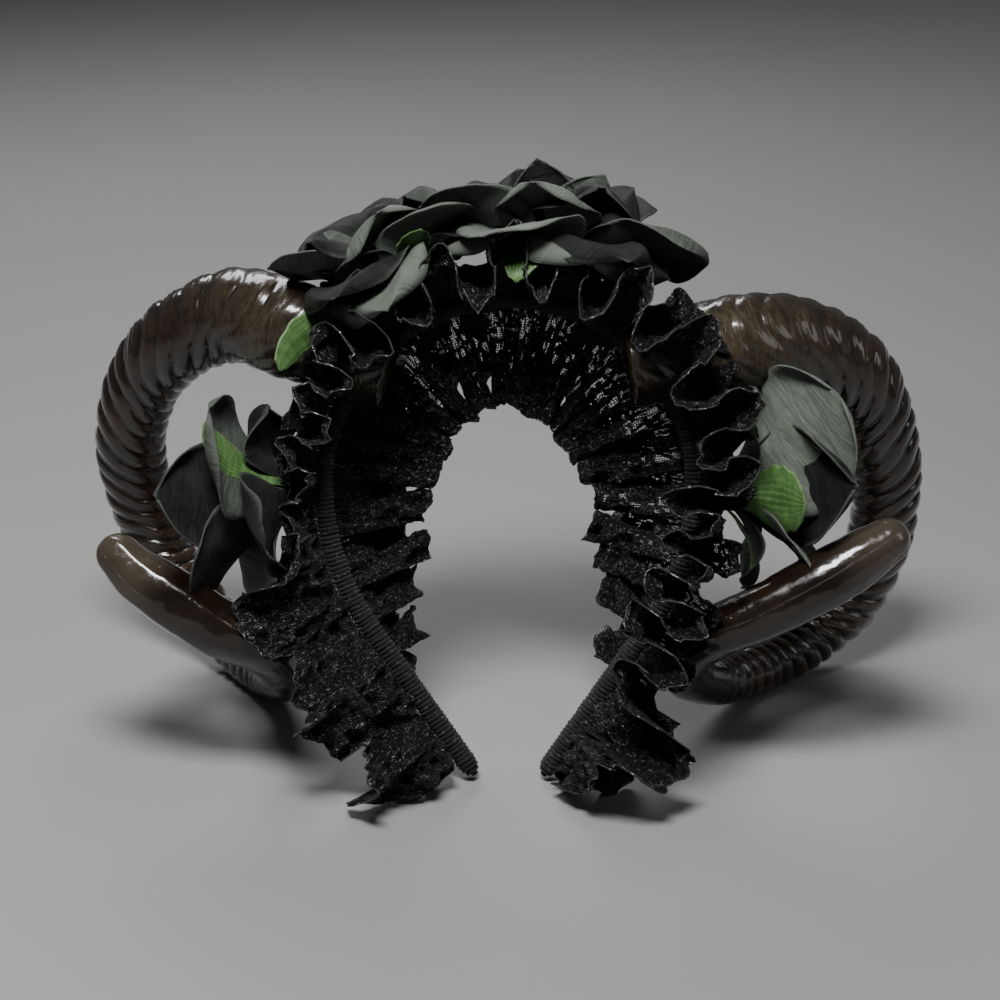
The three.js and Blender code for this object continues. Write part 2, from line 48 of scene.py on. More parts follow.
class Signal:
    # one socket; arithmetic on it adds Math nodes to its tree
    def __init__(self, wiring, socket):
        self.wiring = wiring
        self.socket = socket

    def maths(self, operation, *terms):
        return self.wiring.node("ShaderNodeMath", {"operation": operation}, dict(enumerate(terms)))

    def __add__(self, other): return self.maths("ADD", self, other)
    def __radd__(self, other): return self.maths("ADD", other, self)
    def __sub__(self, other): return self.maths("SUBTRACT", self, other)
    def __rsub__(self, other): return self.maths("SUBTRACT", other, self)
    def __mul__(self, other): return self.maths("MULTIPLY", self, other)
    def __rmul__(self, other): return self.maths("MULTIPLY", other, self)
    def __truediv__(self, other): return self.maths("DIVIDE", self, other)
    def above(self, other): return self.maths("GREATER_THAN", self, other)
    def most(self, other): return self.maths("MAXIMUM", self, other)
    def sine(self): return self.maths("SINE", self)
    def size(self): return self.maths("ABSOLUTE", self)
    def bend(self, other): return self.maths("ARCTAN2", self, other)

    def between(self, low, high, start=0.0, end=1.0):
        settings = {"interpolation_type": "SMOOTHSTEP", "clamp": True}
        return self.wiring.node("ShaderNodeMapRange", settings, {0: self, 1: low, 2: high, 3: start, 4: end})


class Wiring:
    # a node tree that is filled one node at a time
    def __init__(self, tree):
        self.tree = tree

    def node(self, kind, settings=None, sockets=None, output=0):
        made = self.tree.nodes.new(kind)
        for name, value in (settings or {}).items():
            setattr(made, name, value)
        for name, value in (sockets or {}).items():
            if isinstance(value, Signal):
                self.tree.links.new(value.socket, made.inputs[name])
            else:
                made.inputs[name].default_value = value
        made.select = False
        return Signal(self, made.outputs[output]) if len(made.outputs) else made


class Finish(Wiring):
    # a material: fixed values go on the shader, signals feed what varies
    def __init__(self, name, **fixed):
        self.material = bpy.data.materials.new(name)
        self.material.use_nodes = True
        super().__init__(self.material.node_tree)
        self.shader = self.tree.nodes["Principled BSDF"]
        for key, value in fixed.items():
            self.shader.inputs[key.replace("_", " ")].default_value = value

    def feed(self, **signals):
        for key, signal in signals.items():
            self.tree.links.new(signal.socket, self.shader.inputs[key.replace("_", " ")])
        return self.material

    def colour(self, amount, first, second):
        first, second = ((*c, 1) if isinstance(c, tuple) else c for c in (first, second))
        return self.node("ShaderNodeMix", {"data_type": "RGBA"}, {0: amount, 6: first, 7: second}, 2)

    def place(self):
        return self.node("ShaderNodeTexCoord", {}, {}, "Object")

    def cloth(self):
        return self.node("ShaderNodeUVMap", {"uv_map": "cloth"})

    def mark(self, name):
        return self.node("ShaderNodeAttribute", {"attribute_type": "GEOMETRY", "attribute_name": name}, {}, "Fac")

    def scaled(self, vector, factors):
        return self.node("ShaderNodeVectorMath", {"operation": "MULTIPLY"}, {0: vector, 1: factors})

    def shifted(self, vector, other):
        return self.node("ShaderNodeVectorMath", {"operation": "ADD"}, {0: vector, 1: other})

    def part(self, vector, axis):
        return self.node("ShaderNodeSeparateXYZ", {}, {0: vector}, axis)

    def cloud(self, vector, scale, detail=3.0, roughness=0.55, distortion=0.0, output=0):
        sockets = {"Vector": vector, "Scale": scale, "Detail": detail, "Roughness": roughness,
                   "Distortion": distortion}
        return self.node("ShaderNodeTexNoise", {}, sockets, output)

    def cells(self, vector, scale, feature="F1", randomness=1.0, output=0, flat=False):
        settings = {"feature": feature, "voronoi_dimensions": "2D" if flat else "3D"}
        sockets = {"Vector": vector, "Scale": scale, "Randomness": randomness}
        return self.node("ShaderNodeTexVoronoi", settings, sockets, output)

    def relief(self, height, distance, strength=1.0):
        return self.node("ShaderNodeBump", {}, {"Height": height, "Distance": distance, "Strength": strength})


# the band's own frame: x to the wearer's left, y back, z up the band, then leaned back on the horns

band = {
    "lean": 17, "height": 0.157, "topRadius": 0.060, "sideRadius": 0.080, "footOut": 0.00974,
    "thick": 0.0065, "wide": 0.009, "place": (-0.0001, -0.03415, 0.0), "gap": 0.0003,
}
leanTurn = radians(band["lean"])
widest = band["height"] - band["topRadius"]
legAside = band["sideRadius"] + band["footOut"] - band["topRadius"]
legTurn = math.atan2(widest, legAside) - math.acos(band["sideRadius"] / math.hypot(legAside, widest))
legLength = (widest - band["sideRadius"] * math.sin(legTurn)) / math.cos(legTurn)
curveLength = band["sideRadius"] * legTurn
halfBand = legLength + curveLength + band["topRadius"] * pi / 2
forward = np.array((0.0, -1.0, 0.0))


def toRow(points):
    x, y, z = np.moveaxis(np.asarray(points, float), -1, 0)
    leaned = (x, y * cos(leanTurn) + z * sin(leanTurn), z * cos(leanTurn) - y * sin(leanTurn))
    return np.stack(leaned, -1) + np.array(band["place"])


def turnToRow(directions):
    return toRow(directions) - np.array(band["place"])


def bandAt(share):
    # centre line of the band at a share of its length from its right foot: point, outward and onward directions
    share = np.asarray(share, float)
    side = np.where(share < 0.5, -1.0, 1.0)
    run = 2 * halfBand * np.where(share < 0.5, share, 1 - share)
    onLeg, onCurve = run < legLength, run < legLength + curveLength
    curved = -legTurn * (1 - (run - legLength) / curveLength)
    topped = pi / 2 * (run - legLength - curveLength) / (halfBand - legLength - curveLength)
    turn = np.where(onLeg, -legTurn, np.where(onCurve, curved, topped))
    x = np.where(onLeg, band["footOut"] + run * math.sin(legTurn),
                 np.where(onCurve, band["topRadius"] - band["sideRadius"] * (1 - cos(turn)),
                          band["topRadius"] * cos(turn)))
    z = np.where(onLeg, run * math.cos(legTurn),
                 widest + np.where(onCurve, band["sideRadius"], band["topRadius"]) * sin(turn))
    zero = np.zeros_like(x)
    out = np.stack((side * cos(turn), zero, sin(turn)), -1)
    along = np.stack((sin(turn), zero, -side * cos(turn)), -1)
    return np.stack((side * x, zero, z), -1), out, along


def onSection(point, out, angle, grow=0.0):
    # place on the band's oval section; angle 0 faces outwards and 90 forwards
    return (point + out * (band["thick"] / 2 + grow) * cos(radians(angle))
            + forward * (band["wide"] / 2 + grow) * sin(radians(angle)))


def unit(v):
    return v / np.linalg.norm(v)


def eased(value, low, high):
    t = np.clip((np.asarray(value, float) - low) / (high - low), 0, 1)
    return t * t * (3 - 2 * t)


def columnAt(table, key, at):
    # one column of a table at places between its rows; the column "at" holds the rows' places
    places, values = np.array(table["at"]), np.array(table[key], float)
    after = np.clip(np.searchsorted(places, at, side="right"), 1, len(places) - 1)
    return values[after - 1] + (values[after] - values[after - 1]) * eased(at, places[after - 1], places[after])


def wander(values, seed=0.0):
    # smooth noise from -1 to 1 along a line
    return np.array([noise.noise(Vector((v, seed, 0.37))) for v in np.ravel(values)]).reshape(np.shape(values))


def rumple(points, scale, seed=0.0):
    # smooth noise from -1 to 1 in space
    flat = np.asarray(points).reshape(-1, 3) * scale
    values = [noise.noise(Vector((p[0] + seed, p[1] - seed, p[2] + 2 * seed))) for p in flat]
    return np.array(values).reshape(np.shape(points)[:-1])


def sideBySide(first, second):
    return np.stack(np.broadcast_arrays(first, second), -1)


def offFloor(grid, clear):
    grid[..., 2] += np.maximum(clear - grid[..., 2], 0)
    return grid


def areaOf(grid):
    quads = np.cross(np.diff(grid, axis=0)[:, :-1], np.diff(grid, axis=1)[:-1])
    return float(np.linalg.norm(quads, axis=2).sum())


def gridMesh(name, grid, cloth=None, marks=None, loop=False, capped=False):
    # a smooth mesh from a grid of points; loop closes it across and capped closes its two ends with fans
    rows, columns = grid.shape[:2]
    points = [tuple(p) for p in grid.reshape(-1, 3)]
    faces = []
    for i in range(rows - 1):
        for k in range(columns if loop else columns - 1):
            a, b = i * columns + k, i * columns + (k + 1) % columns
            faces.append((a, b, b + columns, a + columns))
    if capped:
        for row, turned in ((0, True), (rows - 1, False)):
            points.append(tuple(grid[row].mean(0)))
            for k in range(columns):
                a, b = row * columns + k, row * columns + (k + 1) % columns
                faces.append((b, a, len(points) - 1) if turned else (a, b, len(points) - 1))
    mesh = bpy.data.meshes.new(name)
    mesh.from_pydata(points, [], faces)
    if cloth is not None:
        padded = np.concatenate([cloth.reshape(-1, 2), np.zeros((len(points) - rows * columns, 2))])
        corners = np.empty(len(mesh.loops), int)
        mesh.loops.foreach_get("vertex_index", corners)
        mesh.uv_layers.new(name="cloth").data.foreach_set("uv", padded[corners].ravel())
    for key, values in (marks or {}).items():
        spread = np.broadcast_to(values, (rows, columns)).ravel()
        flat = np.concatenate([spread, np.zeros(len(points) - rows * columns)])
        mesh.attributes.new(key, "FLOAT", "POINT").data.foreach_set("value", flat.astype(np.float32))
    mesh.polygons.foreach_set("use_smooth", [True] * len(mesh.polygons))
    mesh.update()
    return mesh


def newObject(name, data):
    made = bpy.data.objects.new(name, data)
    bpy.context.scene.collection.objects.link(made)
    return made


def addPiece(name, mesh, material):
    mesh.materials.clear()
    mesh.materials.append(material)
    return newObject(name, mesh)


def joinMeshes(name, meshes):
    # several meshes as one, with their cloth map and marks kept
    made = [newObject(f"{name}_{i}", mesh) for i, mesh in enumerate(meshes)]
    with bpy.context.temp_override(active_object=made[0], selected_editable_objects=made):
        bpy.ops.object.join()
    mesh = made[0].data
    bpy.data.objects.remove(made[0])
    mesh.name = name
    return mesh


def thicken(piece, thickness):
    wall = piece.modifiers.new("wall", "SOLIDIFY")
    wall.thickness = thickness
    wall.offset = 0
    return piece


def bodyWork(piece, slotName, *nodes):
    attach(piece, "root")
    if nodes:
        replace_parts(piece, *nodes)
    return piece


# finishes

def makeHornResin():
    # dark brown resin: olive base that is partly worn and partly painted light on its lit top, darker grooves,
    # tan ribs low down, glossy smooth tip
    f = Finish("hornResin", Specular_IOR_Level=0.34, Coat_Roughness=0.04, IOR=1.5)
    where, wrap = f.place(), f.cloth()
    ridge, base, tip, low = f.mark("ridge"), f.mark("base"), f.mark("tip"), f.mark("low")
    stain = f.cloud(where, 38, 4, 0.6)
    streaks = f.cloud(f.scaled(wrap, (900, 14, 1)), 1, 4, 0.65, 0.6)
    rings = f.cloud(f.scaled(wrap, (2200, 5, 1)), 1, 3, 0.6)
    body = f.colour(stain.between(0.32, 0.7), (0.0046, 0.0027, 0.0018), (0.0155, 0.0094, 0.0060))
    ribbed = f.colour(ridge.between(0.5, 1.0) * streaks.between(0.25, 0.8) * (0.16 + 0.84 * low), body,
                      (0.080, 0.053, 0.035))
    grooved = f.colour(ridge.between(0.34, 0.0) * 0.85, ribbed, (0.0032, 0.0018, 0.0013))
    # the paler olive near the root is partly streaky wear and partly painted light where the top of the horn is
    # lit
    wornAndLit = f.colour(base * (0.35 + 0.65 * stain.between(0.38, 0.62)) * streaks.between(0.2, 0.75), grooved,
                    (0.062, 0.049, 0.029))
    bare = f.colour(tip.between(0.90, 1.0) * (0.4 + 0.6 * stain), wornAndLit, (0.060, 0.048, 0.034))
    dull = 0.11 + 0.13 * stain + 0.20 * base * streaks
    height = rings * 0.25 + streaks * 0.45 + f.cloud(where, 160, 3) * 0.5 + f.cloud(where, 700, 2) * 0.06
    return f.feed(Base_Color=bare, Roughness=dull, Coat_Weight=0.75 - 0.35 * base * streaks,
                  Normal=f.relief(height, 0.0006, 0.6))


def makeLace():
    # net ground almost filled with flowers, leaves and stems, a corded edge, glints of metal thread, and painted
    # highlights: short glint strokes along the crests of the folds
    f = Finish("blackLace", Specular_IOR_Level=0.34)
    cloth = f.scaled(f.cloth(), (1000, 1000, 1))
    waved = f.shifted(cloth, f.scaled(f.cloud(cloth, 0.2, 2, output=1), (3.0, 3.0, 0)))
    edge, sheer = f.mark("edge"), f.mark("sheer")
    net = f.cells(f.scaled(cloth, (0.8, 1.25, 1)), 1.0, "DISTANCE_TO_EDGE", 0.3, 0, True).between(0.19, 0.09)
    flowerPlace = f.scaled(waved, (0.105, 0.105, 1))
    far = f.cells(flowerPlace, 1.0, "F1", 0.6)
    middle = f.cells(flowerPlace, 1.0, "F1", 0.6, 2)
    arm = f.node("ShaderNodeVectorMath", {"operation": "SUBTRACT"}, {0: flowerPlace, 1: middle})
    angle = f.part(arm, "Y").bend(f.part(arm, "X"))
    rim = 0.43 + 0.10 * (angle * 5.0).sine() + 0.035 * (angle * 15.0).sine()
    flower = (far / rim).between(1.03, 0.95)
    eye = far.between(0.085, 0.055)
    veins = (angle * 15.0 + far * 9.0).sine().size().between(0.0, 0.45)
    stems = f.cells(flowerPlace, 1.0, "DISTANCE_TO_EDGE", 0.6).between(0.085, 0.045)
    leaves = f.cells(f.shifted(waved, (3.1, 1.7, 0)), 0.31, "F1", 0.9).between(0.40, 0.34)
    packed = f.cloud(cloth, 0.055, 2, 0.5).between(0.44, 0.62)
    filled = 1 - sheer * (1 - packed * 0.75)
    motif = flower.most(stems).most(leaves).most(edge.between(0.92, 0.94)).most(edge.between(0.22, 0.12))
    cover = motif.most(net).most(filled.above(0.52))
    fold = (f.cloud(cloth, 0.45, 2, 0.6) * 2 - 1).size()
    crinkle = 1 - fold * 3
    pucker = 1 - (f.cloud(f.shifted(cloth, (9.1, 4.7, 0)), 1.0, 2, 0.65) * 2 - 1).size() * 3
    threads = f.cloud(f.scaled(cloth, (5, 1.1, 1)), 1, 2, 0.7)
    chance = f.cells(cloth, 1.6, "F1", 1.0, 1, True)
    # painted highlight: short bright strokes on the contours of the fold noise, where the crinkled crests would
    # catch the light
    paintedGlintStrokes = fold.between(0.05, 0.02) * f.cloud(cloth, 0.8, 2).between(0.52, 0.60)
    specks = f.part(chance, "X").between(0.90, 0.95) * threads.between(0.45, 0.6)
    # glint mixes the metal-thread specks with the painted highlight strokes
    glint = paintedGlintStrokes.most(specks) * (0.25 + 0.75 * motif)
    dark = f.colour(motif * (0.25 + 0.75 * threads), (0.0010, 0.0010, 0.0012), (0.0050, 0.0049, 0.0053))
    shaded = f.colour(veins * flower * 0.4, dark, (0.0095, 0.0095, 0.0102))
    shown = f.colour(glint, shaded, (0.42, 0.42, 0.43))
    height = motif * 0.5 + crinkle * 0.7 + pucker * 0.55 + threads * 0.25 + veins * flower * 0.25 - eye * 0.4
    return f.feed(Base_Color=shown, Roughness=0.42 - 0.10 * glint + 0.18 * threads, Metallic=glint * 0.9,
                  Alpha=cover, Normal=f.relief(height, 0.0017, 1.0))


def makeHemThread():
    f = Finish("hemThread", Specular_IOR_Level=0.4, Sheen_Weight=0.15, Sheen_Roughness=0.35)
    where = f.place()
    twist = f.cloud(f.scaled(where, (1, 1, 1.4)), 1500, 2, 0.6)
    glint = f.part(f.cells(where, 900, "F1", 1.0, "Color"), "Y").between(0.86, 0.92)
    shade = f.colour(twist.between(0.35, 0.7), (0.003, 0.003, 0.0033), (0.014, 0.014, 0.0148))
    shown = f.colour(glint * 0.6, shade, (0.3, 0.3, 0.31))
    return f.feed(Base_Color=shown, Roughness=0.55 - 0.2 * glint, Metallic=glint * 0.8,
                  Normal=f.relief(twist, 0.0003, 0.8))


def makePetalCloth():
    # stiffened charcoal cloth with a fine weave, paler rims that are partly frayed wear and partly a painted
    # highlight, uneven dye, and a tone per petal that is mostly painted light
    f = Finish("petalCloth", Specular_IOR_Level=0.13, Sheen_Weight=0.02, Sheen_Roughness=0.42,
               Sheen_Tint=(0.78, 0.86, 0.80, 1))
    cloth = f.scaled(f.cloth(), (1000, 1000, 1))
    edge, tone = f.mark("edge"), f.mark("tone")
    warp = (f.part(cloth, "X") * 17.0).sine()
    weft = (f.part(cloth, "Y") * 17.0).sine()
    weave = warp * weft
    dye = f.cloud(cloth, 0.16, 4, 0.62)
    slub = f.cloud(f.scaled(cloth, (0.35, 4.2, 1)), 1, 3, 0.6)
    crease = f.cloud(f.scaled(cloth, (0.30, 0.07, 1)), 1, 3, 0.6, 0.7)
    deep = f.colour(dye.between(0.3, 0.72), (0.0032, 0.0036, 0.0034), (0.0115, 0.0130, 0.0120))
    # painted light: tone pales whole petals, a little at random in the rings and strongly on the petals that face
    # the lamp
    toned = f.colour(tone.between(0.0, 1.0) * (0.45 + 0.55 * dye), deep, (0.165, 0.185, 0.158))
    flecked = f.colour(slub.between(0.52, 0.78) * 0.15, toned, (0.030, 0.034, 0.031))
    # painted highlight on the rolled rims, partly also frayed wear: the rims are painted paler
    wornAndLit = f.colour(edge.between(0.93, 1.0) * (0.3 + 0.5 * dye), flecked, (0.085, 0.092, 0.084))
    height = weave * 0.12 + slub * 0.4 + crease * 3.2
    return f.feed(Base_Color=wornAndLit, Roughness=0.62 - 0.16 * dye, Normal=f.relief(height, 0.0006, 0.8))


def makeLeafSatin():
    # green satin pressed into ribs, with painted shade darkening the creases and a painted highlight paling the
    # rib crests
    f = Finish("leafSatin", Specular_IOR_Level=0.55, Sheen_Weight=0.3, Sheen_Roughness=0.3,
               Sheen_Tint=(0.75, 1.0, 0.6, 1))
    cloth = f.scaled(f.cloth(), (1000, 1000, 1))
    edge, rib, tone = f.mark("edge"), f.mark("rib"), f.mark("tone")
    sheen = f.cloud(f.scaled(cloth, (0.5, 0.12, 1)), 1, 3, 0.6)
    thread = (f.part(cloth, "Y") * 21.0).sine()
    grain = f.cloud(f.scaled(cloth, (6, 0.8, 1)), 1, 2, 0.6)
    green = f.colour(sheen.between(0.3, 0.7), (0.036, 0.088, 0.021), (0.080, 0.175, 0.045))
    # painted shade: the creases between the ribs are painted darker
    ribbed = f.colour(rib.between(0.5, 0.0) * 0.65, green, (0.022, 0.070, 0.012))
    # painted highlight: the rib crests are painted paler, broken up by the grain
    paintedLight = f.colour(rib.between(0.6, 1.0) * grain * 0.55, ribbed, (0.20, 0.32, 0.125))
    toned = f.colour(tone * 0.45, paintedLight, (0.028, 0.072, 0.020))
    rim = f.colour(edge.between(0.9, 1.0) * 0.4, toned, (0.15, 0.24, 0.08))
    height = thread * 0.10 + grain * 0.5 + rib * 0.6
    return f.feed(Base_Color=rim, Roughness=0.34 + 0.18 * grain, Normal=f.relief(height, 0.0003, 0.6))


def makeCordWrap():
    # dull ribbed cord wound round the band
    f = Finish("cordWrap", Specular_IOR_Level=0.22, Sheen_Weight=0.06, Sheen_Roughness=0.5)
    where = f.place()
    fibre = f.cloud(f.scaled(where, (1.0, 1.0, 0.6)), 2600, 3, 0.7)
    age = f.cloud(where, 70, 3, 0.6)
    fluff = f.part(f.cells(where, 1300, "F1", 1.0, "Color"), "X").between(0.9, 0.96)
    dark = f.colour(fibre.between(0.3, 0.72), (0.0034, 0.0034, 0.0037), (0.0115, 0.0115, 0.0124))
    rubbed = f.colour(age.between(0.45, 0.75) * 0.4, dark, (0.020, 0.020, 0.0212))
    shown = f.colour(fluff * 0.5, rubbed, (0.085, 0.085, 0.088))
    return f.feed(Base_Color=shown, Roughness=0.72 - 0.12 * fibre, Normal=f.relief(fibre, 0.0004, 0.9))


def makeStemTape():
    # green paper tape wound round a wire stem
    f = Finish("stemTape", Specular_IOR_Level=0.4)
    where = f.place()
    turn = (f.part(where, "Z") * 2600.0 + f.cloud(where, 300, 2) * 4.0).sine()
    grain = f.cloud(where, 900, 3, 0.65)
    green = f.colour(grain.between(0.3, 0.7), (0.030, 0.075, 0.018), (0.085, 0.17, 0.045))
    shown = f.colour(turn.between(0.4, 1.0) * 0.4, green, (0.016, 0.045, 0.010))
    return f.feed(Base_Color=shown, Roughness=0.5 + 0.2 * grain, Normal=f.relief(turn * 0.5 + grain, 0.0003, 0.8))


hornResin, blackLace, hemThread = makeHornResin(), makeLace(), makeHemThread()
petalCloth, leafSatin, cordWrap, stemTape = makePetalCloth(), makeLeafSatin(), makeCordWrap(), makeStemTape()
print("finishes made")


# band: a core with cord wound round it

winding = {
    "pitch": 0.00142, "cord": 0.00080, "inset": 0.0008, "endRound": 0.0045, "endLift": 0.0026,
    "ringSides": 26, "cordSides": 6, "tilt": 0.07, "slack": 0.035, "looseness": 0.028, "seed": 7,
}


def bandLine(count):
    # places along the band from foot to foot, with how far its section has swollen from its rounded ends
    start = winding["endLift"] / (2 * halfBand)
    share = np.linspace(start, 1 - start, count)
    fromEnd = 2 * halfBand * np.minimum(share, 1 - share) - winding["endLift"]
    rounding = 1 - np.clip(fromEnd / winding["endRound"], 0, 1)
    point, out, along = bandAt(share)
    return point, out, along, np.sqrt(np.clip(1 - rounding ** 2, 0.12, 1))


def makeBandCore():
    point, out, along, swell = bandLine(260)
    angles = radians(np.linspace(0, 360, 24, endpoint=False))
    thick = (band["thick"] / 2 - winding["inset"]) * swell
    wide = (band["wide"] / 2 - winding["inset"]) * swell
    grid = np.array([
        p + np.outer(cos(angles) * t, o) + np.outer(sin(angles) * w, forward)
        for p, o, t, w in zip(point, out, thick, wide)
    ])
    return addPiece("headband_core", gridMesh("headband_core", toRow(grid), loop=True, capped=True), cordWrap)


def pointMesh(name, points, floats=None, vectors=None):
    # loose points that carry named values, for a tree to build on
    mesh = bpy.data.meshes.new(name)
    mesh.from_pydata([tuple(p) for p in points], [(i, i + 1) for i in range(len(points) - 1)], [])
    for key, values in (floats or {}).items():
        mesh.attributes.new(key, "FLOAT", "POINT").data.foreach_set("value", np.ravel(values).astype(np.float32))
    for key, values in (vectors or {}).items():
        mesh.attributes.new(key, "FLOAT_VECTOR", "POINT").data.foreach_set(
            "vector", np.ravel(values).astype(np.float32))
    return mesh


def startTree(name, inputs):
    # an empty tree with named inputs, and the signals that they give
    tree = bpy.data.node_groups.new(name, "GeometryNodeTree")
    for key, kind in inputs:
        tree.interface.new_socket(key, in_out="INPUT", socket_type="NodeSocket" + kind)
    tree.interface.new_socket("Made", in_out="OUTPUT", socket_type="NodeSocketGeometry")
    w = Wiring(tree)
    given = tree.nodes.new("NodeGroupInput")
    return w, {key: Signal(w, given.outputs[key]) for key, kind in inputs}


def endTree(w, shape, finish):
    real = w.node("GeometryNodeRealizeInstances", {}, {"Geometry": shape})
    smooth = w.node("GeometryNodeSetShadeSmooth", {}, {"Geometry": real})
    painted = w.node("GeometryNodeSetMaterial", {}, {"Geometry": smooth, "Material": finish})
    w.tree.links.new(painted.socket, w.tree.nodes.new("NodeGroupOutput").inputs["Made"])
    return w.tree


def runTree(name, mesh, tree, values):
    # puts a tree on a mesh, reads the result as a plain mesh and takes the tree off again
    holder = newObject(name + "_line", mesh)
    step = holder.modifiers.new("build", "NODES")
    step.node_group = tree
    sockets = {item.name: item.identifier for item in tree.interface.items_tree if item.in_out == "INPUT"}
    for key, value in values.items():
        step[sockets[key]] = value
    holder.update_tag()
    bpy.context.view_layer.update()
    made = bpy.data.meshes.new_from_object(holder.evaluated_get(bpy.context.evaluated_depsgraph_get()))
    made.name = name
    holder.modifiers.remove(step)
    bpy.data.objects.remove(holder)
    return made


def windingTree():
    # an oval ring of cord on each point, square to the band and a little loose
    w, take = startTree("cordWinding", [
        ("Line", "Geometry"), ("Thick", "Float"), ("Wide", "Float"), ("Cord", "Float"), ("Tilt", "Float"),
        ("Slack", "Float"), ("Looseness", "Float"), ("Front", "Vector"), ("Seed", "Int"), ("Finish", "Material"),
    ])
    ring = w.node("GeometryNodeCurvePrimitiveCircle", {}, {"Resolution": winding["ringSides"], "Radius": 1.0})
    oval = w.node("ShaderNodeCombineXYZ", {}, {0: take["Thick"], 1: take["Wide"], 2: 1.0})
    shaped = w.node("GeometryNodeTransform", {}, {"Geometry": ring, "Scale": oval})
    cord = w.node("GeometryNodeCurvePrimitiveCircle", {},
                  {"Resolution": winding["cordSides"], "Radius": take["Cord"]})
    solid = w.node("GeometryNodeCurveToMesh", {}, {"Curve": shaped, "Profile Curve": cord})
    onward = w.node("GeometryNodeInputNamedAttribute", {"data_type": "FLOAT_VECTOR"}, {"Name": "along"})
    swell = w.node("GeometryNodeInputNamedAttribute", {"data_type": "FLOAT"}, {"Name": "swell"})
    facing = w.node("FunctionNodeAlignRotationToVector", {"axis": "Y"}, {"Vector": take["Front"]})
    square = w.node("FunctionNodeAlignRotationToVector", {"axis": "Z", "pivot_axis": "Y"},
                    {"Rotation": facing, "Vector": onward})
    chance = w.node("FunctionNodeRandomValue", {"data_type": "FLOAT_VECTOR"},
                    {0: (-1.0, -1.0, -1.0), 1: (1.0, 1.0, 1.0), "Seed": take["Seed"]})
    slack = w.node("ShaderNodeVectorMath", {"operation": "SCALE"}, {0: chance, "Scale": take["Slack"]})
    leaned = w.node("ShaderNodeCombineXYZ", {}, {0: take["Tilt"]})
    swing = w.node("ShaderNodeVectorMath", {"operation": "ADD"}, {0: slack, 1: leaned})
    turned = w.node("FunctionNodeRotateRotation", {"rotation_space": "LOCAL"},
                    {"Rotation": square, "Rotate By": swing})
    size = w.node("FunctionNodeRandomValue", {"data_type": "FLOAT"},
                  {2: 1 - take["Looseness"], 3: 1 + take["Looseness"], "Seed": take["Seed"]}, 1)
    placed = w.node("GeometryNodeInstanceOnPoints", {},
                    {"Points": take["Line"], "Instance": solid, "Rotation": turned, "Scale": size * swell})
    return endTree(w, placed, take["Finish"])


def makeWinding():
    count = int((2 * halfBand - 2 * winding["endLift"]) / winding["pitch"])
    point, out, along, swell = bandLine(count)
    line = pointMesh("cord_line", toRow(point), {"swell": swell}, {"along": turnToRow(along)})
    return newObject("headband_winding", runTree("headband_winding", line, windingTree(), {
        "Thick": band["thick"] / 2 - winding["cord"] * 0.75, "Wide": band["wide"] / 2 - winding["cord"] * 0.75,
        "Cord": winding["cord"], "Tilt": winding["tilt"], "Slack": winding["slack"],
        "Looseness": winding["looseness"], "Front": tuple(turnToRow(forward)), "Seed": winding["seed"],
        "Finish": cordWrap,
    }))


bodyWork(makeBandCore(), "wrap")
bodyWork(makeWinding(), "wrap", "headband")
print("band wound")


# ram horns

horn = {
    "reach": 0.132, "depth": 0.080, "rise": 0.140, "girth": 0.034, "flat": 0.93, "smoothTip": 0.3,
    "ridges": 37, "ridgeDepth": 0.00135, "fineRidge": 0.00020, "crest": 0.72, "restLevel": 0.62,
    "strength": ((0, 0.14, 0.3, 0.7), (0.6, 0.7, 1, 1.05)),
    "slant": ((0, 0.12, 0.3, 0.6, 1), (2.6, 2.2, 1.1, 0.7, 0.3)),
    "wobble": (0.34, 0.12), "dents": (0.00038, 0.00016), "wear": 0.35,
    "tipFull": 0.14, "tipCrease": 0.00085, "tipDents": 0.00050, "tipRound": 0.95,
    "rings": 820, "sides": 84, "capRings": 9,
}
# places from base to tip; out, back and up are shares of reach, depth and rise
hornStations = {
    "left": {
        "out": (0.28, 0.55, 0.71, 0.87, 0.96, 1, 0.99, 0.92, 0.8,
                0.65, 0.51, 0.43, 0.49, 0.61, 0.74, 0.86, 0.91),
        "back": (0.01, 0.1, 0.25, 0.42, 0.62, 0.8, 0.91, 0.95, 0.88,
                 0.68, 0.4, 0.12, -0.04, -0.11, -0.15, -0.15, -0.14),
        "up": (0.93, 0.98, 0.98, 0.91, 0.77, 0.61, 0.45, 0.3, 0.21,
               0.16, 0.16, 0.23, 0.31, 0.37, 0.44, 0.51, 0.54),
        "girth": (0.76, 0.94, 0.9, 0.82, 0.77, 0.74, 0.69, 0.63, 0.57,
                  0.52, 0.49, 0.47, 0.47, 0.51, 0.53, 0.49, 0.38),
    },
    "right": {
        "out": (0.28, 0.54, 0.68, 0.84, 0.95, 1, 0.99, 0.94, 0.84,
                0.73, 0.61, 0.56, 0.6, 0.71, 0.82, 0.9, 0.94),
        "back": (0.01, 0.12, 0.28, 0.45, 0.65, 0.8, 0.93, 0.99, 0.96,
                 0.86, 0.56, 0.14, -0.05, -0.15, -0.17, -0.16, -0.15),
        "up": (0.94, 1.03, 1.06, 1.0, 0.89, 0.75, 0.6, 0.46, 0.33,
               0.21, 0.17, 0.23, 0.3, 0.36, 0.43, 0.48, 0.52),
        "girth": (0.76, 0.94, 0.9, 0.83, 0.77, 0.74, 0.71, 0.64, 0.57,
                  0.52, 0.49, 0.47, 0.47, 0.51, 0.53, 0.49, 0.38),
    },
}


